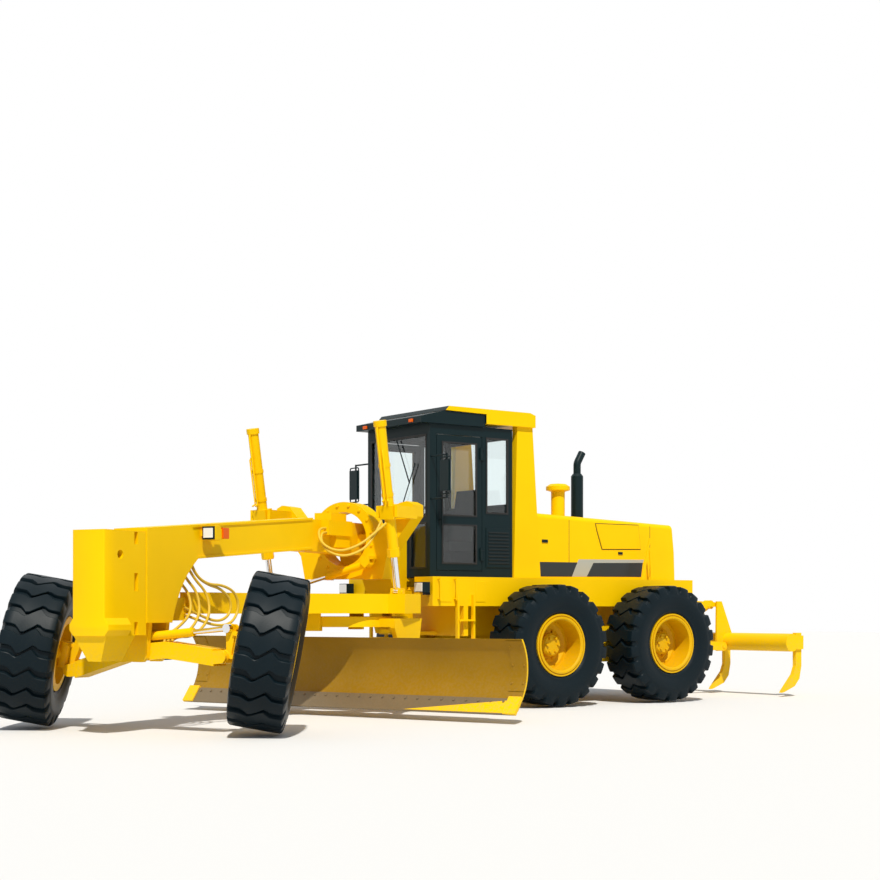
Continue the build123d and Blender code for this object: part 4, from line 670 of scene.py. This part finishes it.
spot = edge_spot(0.165, 0)
edge_axis = blade_point(math.cos(edge_lean), 0, math.sin(edge_lean)) - blade_point(0, 0, 0)
edge_bolt_pitch = 0.166
row = np.arange(-13.5, 14.5) * edge_bolt_pitch
bolt_heads("edge_bolts", [blade_point(spot[0], y, spot[1]) for y in row], [edge_axis] * len(row),
           edge_steel, "blade", radius=0.016, height=0.012)
for hand, side_name in hands:
    z = np.linspace(0.335, 0.89, 14)
    radius = np.array([[plate_back], [plate_face], [plate_face], [plate_back]])
    x = board_centre[0] - np.sqrt(radius**2 - (z[None, :] - board_centre[1]) ** 2)
    ends = np.array([2.23, 2.234, 2.436, 2.44]) * hand
    grid = np.array([[blade_point(x[i, j], ends[i], z[j]) for j in range(len(z))] for i in range(4)])
    faces = grid_faces(4, len(z), False, False)
    faces = faces if hand > 0 else faces[:, ::-1]
    add_mesh("end_plate_" + side_name, grid.reshape(-1, 3), faces, scoured_and_shaded, "blade", smooth=30)
    seats, ways = [], []
    for y in (2.26, 2.41):
        for height in (0.42, 0.62, 0.82):
            depth = board_centre[0] - math.sqrt(plate_face**2 - (height - board_centre[1]) ** 2)
            seats.append(blade_point(depth, hand * y, height))
            way = np.array([board_centre[0] - depth, board_centre[1] - height])
            way = way / np.linalg.norm(way)
            ways.append(blade_point(way[0], 0, way[1]) - blade_origin)
    bolt_heads("end_plate_bolts_" + side_name, seats, ways, scoured_and_shaded, "blade", radius=0.014, height=0.008)

# a yellow wedge with a slanted side over one end of the cutting edge: painted light, standing for the patch of sun
# on the blade's foot: (y, distance up the face)
wedge = [(2.44, 0.012), (2.44, 0.2), (0.95, 0.012)]
wedge_points = []
for proud in (-0.004, 0.0025):
    for y, along in wedge:
        x, z = edge_spot(along, proud)
        wedge_points.append(blade_point(x, y, z))
wedge_faces = [(0, 1, 2), (5, 4, 3), (0, 3, 4, 1), (1, 4, 5, 2), (2, 5, 3, 0)]
add_mesh("edge_paint", wedge_points, wedge_faces, yellow, "blade")

# ---- Hoses ----
# Rubber hydraulic hoses sprayed yellow with the machine: two from the valve block to the left lift
# cylinder, four that hang from the nose to the front axle, and two loops under the beam.
hose_yellow = make_finish("sprayed hose", (0.72, 0.47, 0.03), 0.5, scale=6, variation=0.3, bump=0.15)


def in_front(points):
    """Points of the front frame in the row frame: turned by the beam's angle and set at the hinge."""
    points = np.asarray(points, float)
    x, y, z = points[..., 0], points[..., 1], points[..., 2]
    return np.stack([hinge_x + x * math.cos(beam_turn) - y * math.sin(beam_turn),
                     x * math.sin(beam_turn) + y * math.cos(beam_turn), z], axis=-1)


def hose(name, points, radius, body, material, stands_for):
    """A round hose along the quadratic spline of the points, set on the body, which hides the CAD node it stands
    for.
    """
    points = in_front(points)
    curve = bpy.data.curves.new(name, "CURVE")
    curve.dimensions = "3D"
    curve.bevel_depth = radius
    curve.bevel_resolution = 3
    curve.resolution_u = 16
    spline = curve.splines.new("NURBS")
    spline.points.add(len(points) - 1)
    spline.points.foreach_set("co", np.c_[points, np.ones(len(points))].ravel())
    spline.order_u = 3
    spline.use_endpoint_u = True
    spline.use_smooth = True
    curve.materials.append(material)
    obj = bpy.data.objects.new(name, curve)
    scene.collection.objects.link(obj)
    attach(obj, body)
    if stands_for:
        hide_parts(stands_for)


# name, points in the front frame, the CAD node it stands for
hose_routes = [
    ("lift_hose_piece", [(2.0803, 0.19, 2.2), (2.25, 0.19, 2.2), (2.37, 0.3, 2.01), (2.33, 0.52, 1.9),
                         (2.18, 0.72, 1.98), (2.02, 0.86, 2.15), (1.88, 0.9, 2.25)], "lift_hose"),
    ("lift_hose_second", [(2.0803, 0.2, 2.15), (2.22, 0.2, 2.15), (2.36, 0.34, 1.94), (2.3, 0.56, 1.84),
                          (2.14, 0.76, 1.93), (2.0, 0.83, 2.12), (1.88, 0.84, 2.28)], None),
    ("nose_hose_a", [(4.78, 0.03, 1.62), (4.74, 0.06, 1.54), (4.66, 0.14, 1.4), (4.7, 0.2, 1.2),
                     (4.92, 0.2, 1.05), (5.1, 0.17, 0.97), (5.13, 0.17, 0.887)], None),
    ("nose_hose_b", [(4.74, 0.08, 1.68), (4.68, 0.1, 1.57), (4.56, 0.17, 1.42), (4.6, 0.24, 1.18),
                     (4.84, 0.26, 0.99), (5.08, 0.22, 0.95), (5.16, 0.22, 0.887)], None),
    ("nose_hose_c", [(4.7, 0.14, 1.7), (4.62, 0.15, 1.58), (4.44, 0.22, 1.4), (4.5, 0.29, 1.14),
                     (4.8, 0.3, 0.95), (5.08, 0.27, 0.96), (5.17, 0.27, 0.887)], None),
    ("nose_hose_d", [(4.66, -0.05, 1.71), (4.6, -0.08, 1.6), (4.5, -0.14, 1.45), (4.58, -0.2, 1.2),
                     (4.84, -0.24, 1.04), (5.08, -0.22, 0.97), (5.15, -0.22, 0.887)], None),
    ("nose_loop_a", [(4.66, 0.16, 1.73), (4.6, 0.17, 1.6), (4.42, 0.2, 1.5), (4.2, 0.23, 1.5),
                     (3.98, 0.25, 1.42), (3.92, 0.25, 1.24), (4.06, 0.25, 1.08), (4.3, 0.23, 1.06),
                     (4.54, 0.18, 1.12), (4.72, 0.118, 1.18)], None),
    ("nose_loop_b", [(4.63, 0.12, 1.74), (4.56, 0.14, 1.6), (4.4, 0.18, 1.5), (4.2, 0.21, 1.46),
                     (4.04, 0.23, 1.34), (4.06, 0.23, 1.18), (4.24, 0.21, 1.1), (4.48, 0.17, 1.16),
                     (4.73, 0.118, 1.26)], None),
]
hose_radius = 0.015
for hose_name, route, stands_for in hose_routes:
    hose(hose_name, route, hose_radius, "front", hose_yellow, stands_for)

# ---- Push block ----
# Cast counterweight bolted to the nose: a lip round its foot and a chin under it, three
# hand-deep slots in each side, and a hole through it for a tow pin.
seam_x, lip_x, push_x, push_y, edge_round = 5.4603, 5.75, 6.1, 0.205, 0.025
slot_at, slot_half, slot_deep = 5.615, 0.028, 0.06
hole_at, hole_z, hole_radius, hole_cell = 5.86, 1.78, 0.045, 0.07


def section(lip, cut):
    """Half of the block's level section, from the seam forward: (x, y), with the lip's half width
    and the share of the slot's depth that is cut."""
    side = push_y + max(lip, 0.0002)
    slot_y = push_y - slot_deep * max(cut, 0.003)
    bow = math.sqrt(0.5) * edge_round
    return [(seam_x, push_y), (slot_at - slot_half, push_y), (slot_at - slot_half, slot_y),
            (slot_at + slot_half, slot_y), (slot_at + slot_half, push_y), (lip_x, push_y), (lip_x, side),
            (hole_at - hole_cell, side), (hole_at + hole_cell, side), (push_x - edge_round, side),
            (push_x - edge_round + bow, side - edge_round + bow), (push_x, side - edge_round)]


# height, lip, slot's depth
levels = [(0.977, 0, 0), (0.985, 0.007, 0), (0.9855, 0.007, 1), (1.032, 0.045, 1), (1.087, 0.045, 1),
          (1.11, 0.029, 1), (1.1105, 0.029, 0), (1.152, 0, 0), (1.421, 0, 0), (1.4215, 0, 1), (1.6, 0, 1),
          (1.6005, 0, 0), (hole_z - hole_cell, 0, 0), (hole_z + hole_cell, 0, 0), (1.89, 0, 0),
          (1.8905, 0, 1), (2.01, 0, 1), (2.0105, 0, 0), (2.02, 0, 0)]
block = []
for height, lip, cut in levels:
    half = section(lip, cut)
    block.extend((x, y, height) for x, y in half)
    block.extend((x, -y, height) for x, y in half[::-1])
columns = len(block) // len(levels)
block_faces = [tuple(f) for f in grid_faces(len(levels), columns, False, True)]
block_faces += [tuple(range(columns))[::-1], tuple(range(len(block) - columns, len(block)))]
# the cell round the tow hole, on each side, gives way to four faces and the hole's wall
row_low = [row[0] for row in levels].index(hole_z - hole_cell) * columns
rings = []
for first, turn_way in ((7, 1), (columns - 9, -1)):
    cell = [row_low + first, row_low + first + 1, row_low + columns + first + 1, row_low + columns + first]
    block_faces.remove(tuple(cell))
    angle = np.arange(16) * math.pi / 8 - 0.75 * math.pi
    side = push_y + 0.0002
    rings.append(len(block))
    block.extend((hole_at + turn_way * hole_radius * math.cos(a), turn_way * side,
                  hole_z + hole_radius * math.sin(a)) for a in angle)
    for k in range(4):
        arc = [rings[-1] + (4 * (k + 1) - step) % 16 for step in range(5)]
        block_faces.append((cell[k], cell[(k + 1) % 4], *arc))
for k in range(16):
    after = (k + 1) % 16
    # the far ring runs the other way round
    block_faces.append((rings[0] + k, rings[0] + after, rings[1] + (4 - after) % 16, rings[1] + (4 - k) % 16))
chin = len(block)
# the chin's foot and top: stations, half width, height
for x0, x1, half_y, height in ((5.69, 6.005, 0.082, 0.722), (5.635, 6.075, push_y, 0.977)):
    block.extend((x, y, height) for x, y in ((x0, half_y), (x1, half_y), (x1, -half_y), (x0, -half_y)))
block_faces += [(chin + k, chin + (k + 1) % 4, chin + 4 + (k + 1) % 4, chin + 4 + k) for k in range(4)]
block_faces += [(chin + 3, chin + 2, chin + 1, chin), (chin + 4, chin + 5, chin + 6, chin + 7)]
push_piece = add_mesh("push_block_cast", in_front(block), [f[::-1] for f in block_faces], yellow, "front",
                      smooth=25)
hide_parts("push_block")

# ---- Beam plates ----
# The main beam is a box welded from plate: its top and bottom plates stand out past the webs, and
# a thick side plate is let in at the nose.
# name, outline of (x, z) in the front frame
beam_plates = [
    ("flange_high", [(2.38, 2.31), (4.7, 2.1217), (4.7, 2.0937), (2.38, 2.282)]),
    ("flange_low", [(2.38, 1.968), (4.61, 1.798), (4.6, 1.77), (2.38, 1.94)]),
    ("nose_plate", [(4.7, 2.1217), (5.455, 2.0604), (5.455, 1.1), (5.04, 1.1), (5.0, 1.235), (4.965, 1.32),
                    (4.92, 1.41), (4.865, 1.5), (4.79, 1.6), (4.7, 1.69), (4.6, 1.77)]),
]
for plate_name, outline in beam_plates:
    for hand, side_name in hands:
        plate(f"{plate_name}_{side_name}", outline, *side_span(hand, 0.196, 0.212), yellow, "front",
              chamfer=0.002, **front_place)

# ---- Lift cylinders' fittings ----
# Two steel oil pipes held along each lift barrel by two clip rings, and the gland nut that closes
# the barrel round its rod, turned with eight flats for a spanner.


def toward(start, end, distance, aside=(0, 0, 0)):
    """The point at a distance from start on the way to end, set aside."""
    start, end = np.asarray(start, float), np.asarray(end, float)
    return start + unit(end - start) * distance + np.asarray(aside, float)


# each pipe's place beside the barrel: ahead of it and outwards
pipe_asides, pipe_radius = ((0.088, 0.0), (0.078, 0.04)), 0.011
ring_bore = 0.0665
# name, start along the barrel, length, outer radius, flats
barrel_rings = [
    ("clip_high", -0.57, 0.04, 0.0725, 28),
    ("clip_low", -0.22, 0.04, 0.0725, 28),
    ("gland", 0.44, 0.09, 0.08, 8),
]
for hand, side_name in hands:
    pivot, eye = (1.8, hand * 0.9, 2.39), (1.6, hand * 0.9, 1.44)
    for k, (ahead_by, out_by) in enumerate(pipe_asides):
        aside = (ahead_by, hand * out_by, 0)
        start = -1.0 + 0.28 * k
        run = [toward(pivot, eye, start, np.array(aside) * 0.7), toward(pivot, eye, -0.96 + 0.28 * k, aside),
               toward(pivot, eye, -0.14, aside), toward(pivot, eye, -0.11, np.array(aside) * 1.5)]
        pipe(f"lift_pipe_{side_name}_{k}", in_front(run), pipe_radius, yellow, "lift_barrel_" + side_name)
    for ring_name, start, long, outer, flats in barrel_rings:
        seat, ahead = in_front([toward(pivot, eye, start), toward(pivot, eye, start + 1)])
        loop = [(ring_bore, 0), (outer, 0), (outer, long), (ring_bore, long)]
        lathe(f"lift_{ring_name}_{side_name}", [loop], seat, ahead - seat, yellow,
              "lift_barrel_" + side_name, steps=flats)

# ---- Ring and deck fittings ----
# Bolts round the face of the saddle ring that clamp it to the neck, bolts round the hub covers of
# the chain cases, and two pressed doors in the side of each deck box.
ring_bolts, ring_x, ring_z, ring_circle = 16, 1.38, 2.1, 0.415
ring_turn = np.arange(ring_bolts) * math.pi / 8 + math.pi / 16
ring_seats = in_front(np.stack([np.full(ring_bolts, ring_x), ring_circle * np.cos(ring_turn),
                                ring_z + ring_circle * np.sin(ring_turn)], axis=1))
ring_way = in_front([1, 0, 0]) - in_front([0, 0, 0])
bolt_heads("ring_bolts", ring_seats, [ring_way] * ring_bolts, yellow, "front", radius=0.02, height=0.018)
tandem_half, case_face, case_z, case_circle = 0.985, 0.89, 0.77, 0.2
case_seats, case_ways = [], []
for hand, side_name in hands:
    for x in (tandem_half, -tandem_half):
        for angle in np.arange(8) * math.pi / 4:
            case_seats.append((x + case_circle * math.cos(angle), hand * case_face,
                               case_z + case_circle * math.sin(angle)))
            case_ways.append((0, hand, 0))
bolt_heads("case_bolts", case_seats, case_ways, yellow, "rear", radius=0.016, height=0.014)
for hand, side_name in hands:
    for door_name, x0, x1 in (("deck_door", 1.76, 1.92), ("deck_door_fore", 2.3, 2.48)):
        plate(f"{door_name}_{side_name}", rectangle(x0, x1, 1.33, 1.6), *side_span(hand, 0.949, 0.956),
              yellow, "rear")

# ---- Recoloured faces of the CAD nodes ----
# Single castings and plates that are sprayed or worn in two colours: the roof's front edge is black,
# the air cleaner is yellow beside the black exhaust, the moldboard's hollow is scoured bare and darkened as
# painted shade, and the ends of the cutting edge still have their paint. The ripper's barrel and link are yellow
# all over.


def face_places(mesh):
    """The middle and the normal of each face of a mesh, as two arrays."""
    return (np.array([polygon.center for polygon in mesh.polygons]),
            np.array([polygon.normal for polygon in mesh.polygons]))


def second_coat(mesh, material, chosen):
    """The chosen faces of a mesh get a second material."""
    mesh.materials.append(material)
    mesh.polygons.foreach_set("material_index", chosen.astype(np.int32))


for node_name in ("ripper_barrel", "ripper_link"):
    nodes[node_name].data.materials[0] = yellow
roof_front, exhaust_front, hollow_start, painted_end = 1.5, -0.24, 0.33, 2.28
middles, normals = face_places(nodes["rops"].data)
second_coat(nodes["rops"].data, black, (normals[:, 0] > 0.5) & (middles[:, 0] > roof_front))
middles, normals = face_places(nodes["stacks"].data)
second_coat(nodes["stacks"].data, yellow, middles[:, 0] > exhaust_front)
blade_ahead = np.array([math.cos(blade_turn), math.sin(blade_turn), 0])
blade_across = np.array([-math.sin(blade_turn), math.cos(blade_turn), 0])
middles, normals = face_places(nodes["moldboard"].data)
in_hollow = (normals @ blade_ahead > 0.05) & ((middles - blade_origin) @ blade_ahead > hollow_start)
# The hollow's faces take the scoured steel, which is darkened as painted shade.
second_coat(nodes["moldboard"].data, scoured_and_shaded, in_hollow)
middles, normals = face_places(nodes["cutting_edge"].data)
nodes["cutting_edge"].data.materials[0] = edge_steel
second_coat(nodes["cutting_edge"].data, yellow, np.abs((middles - blade_origin) @ blade_across) > painted_end)
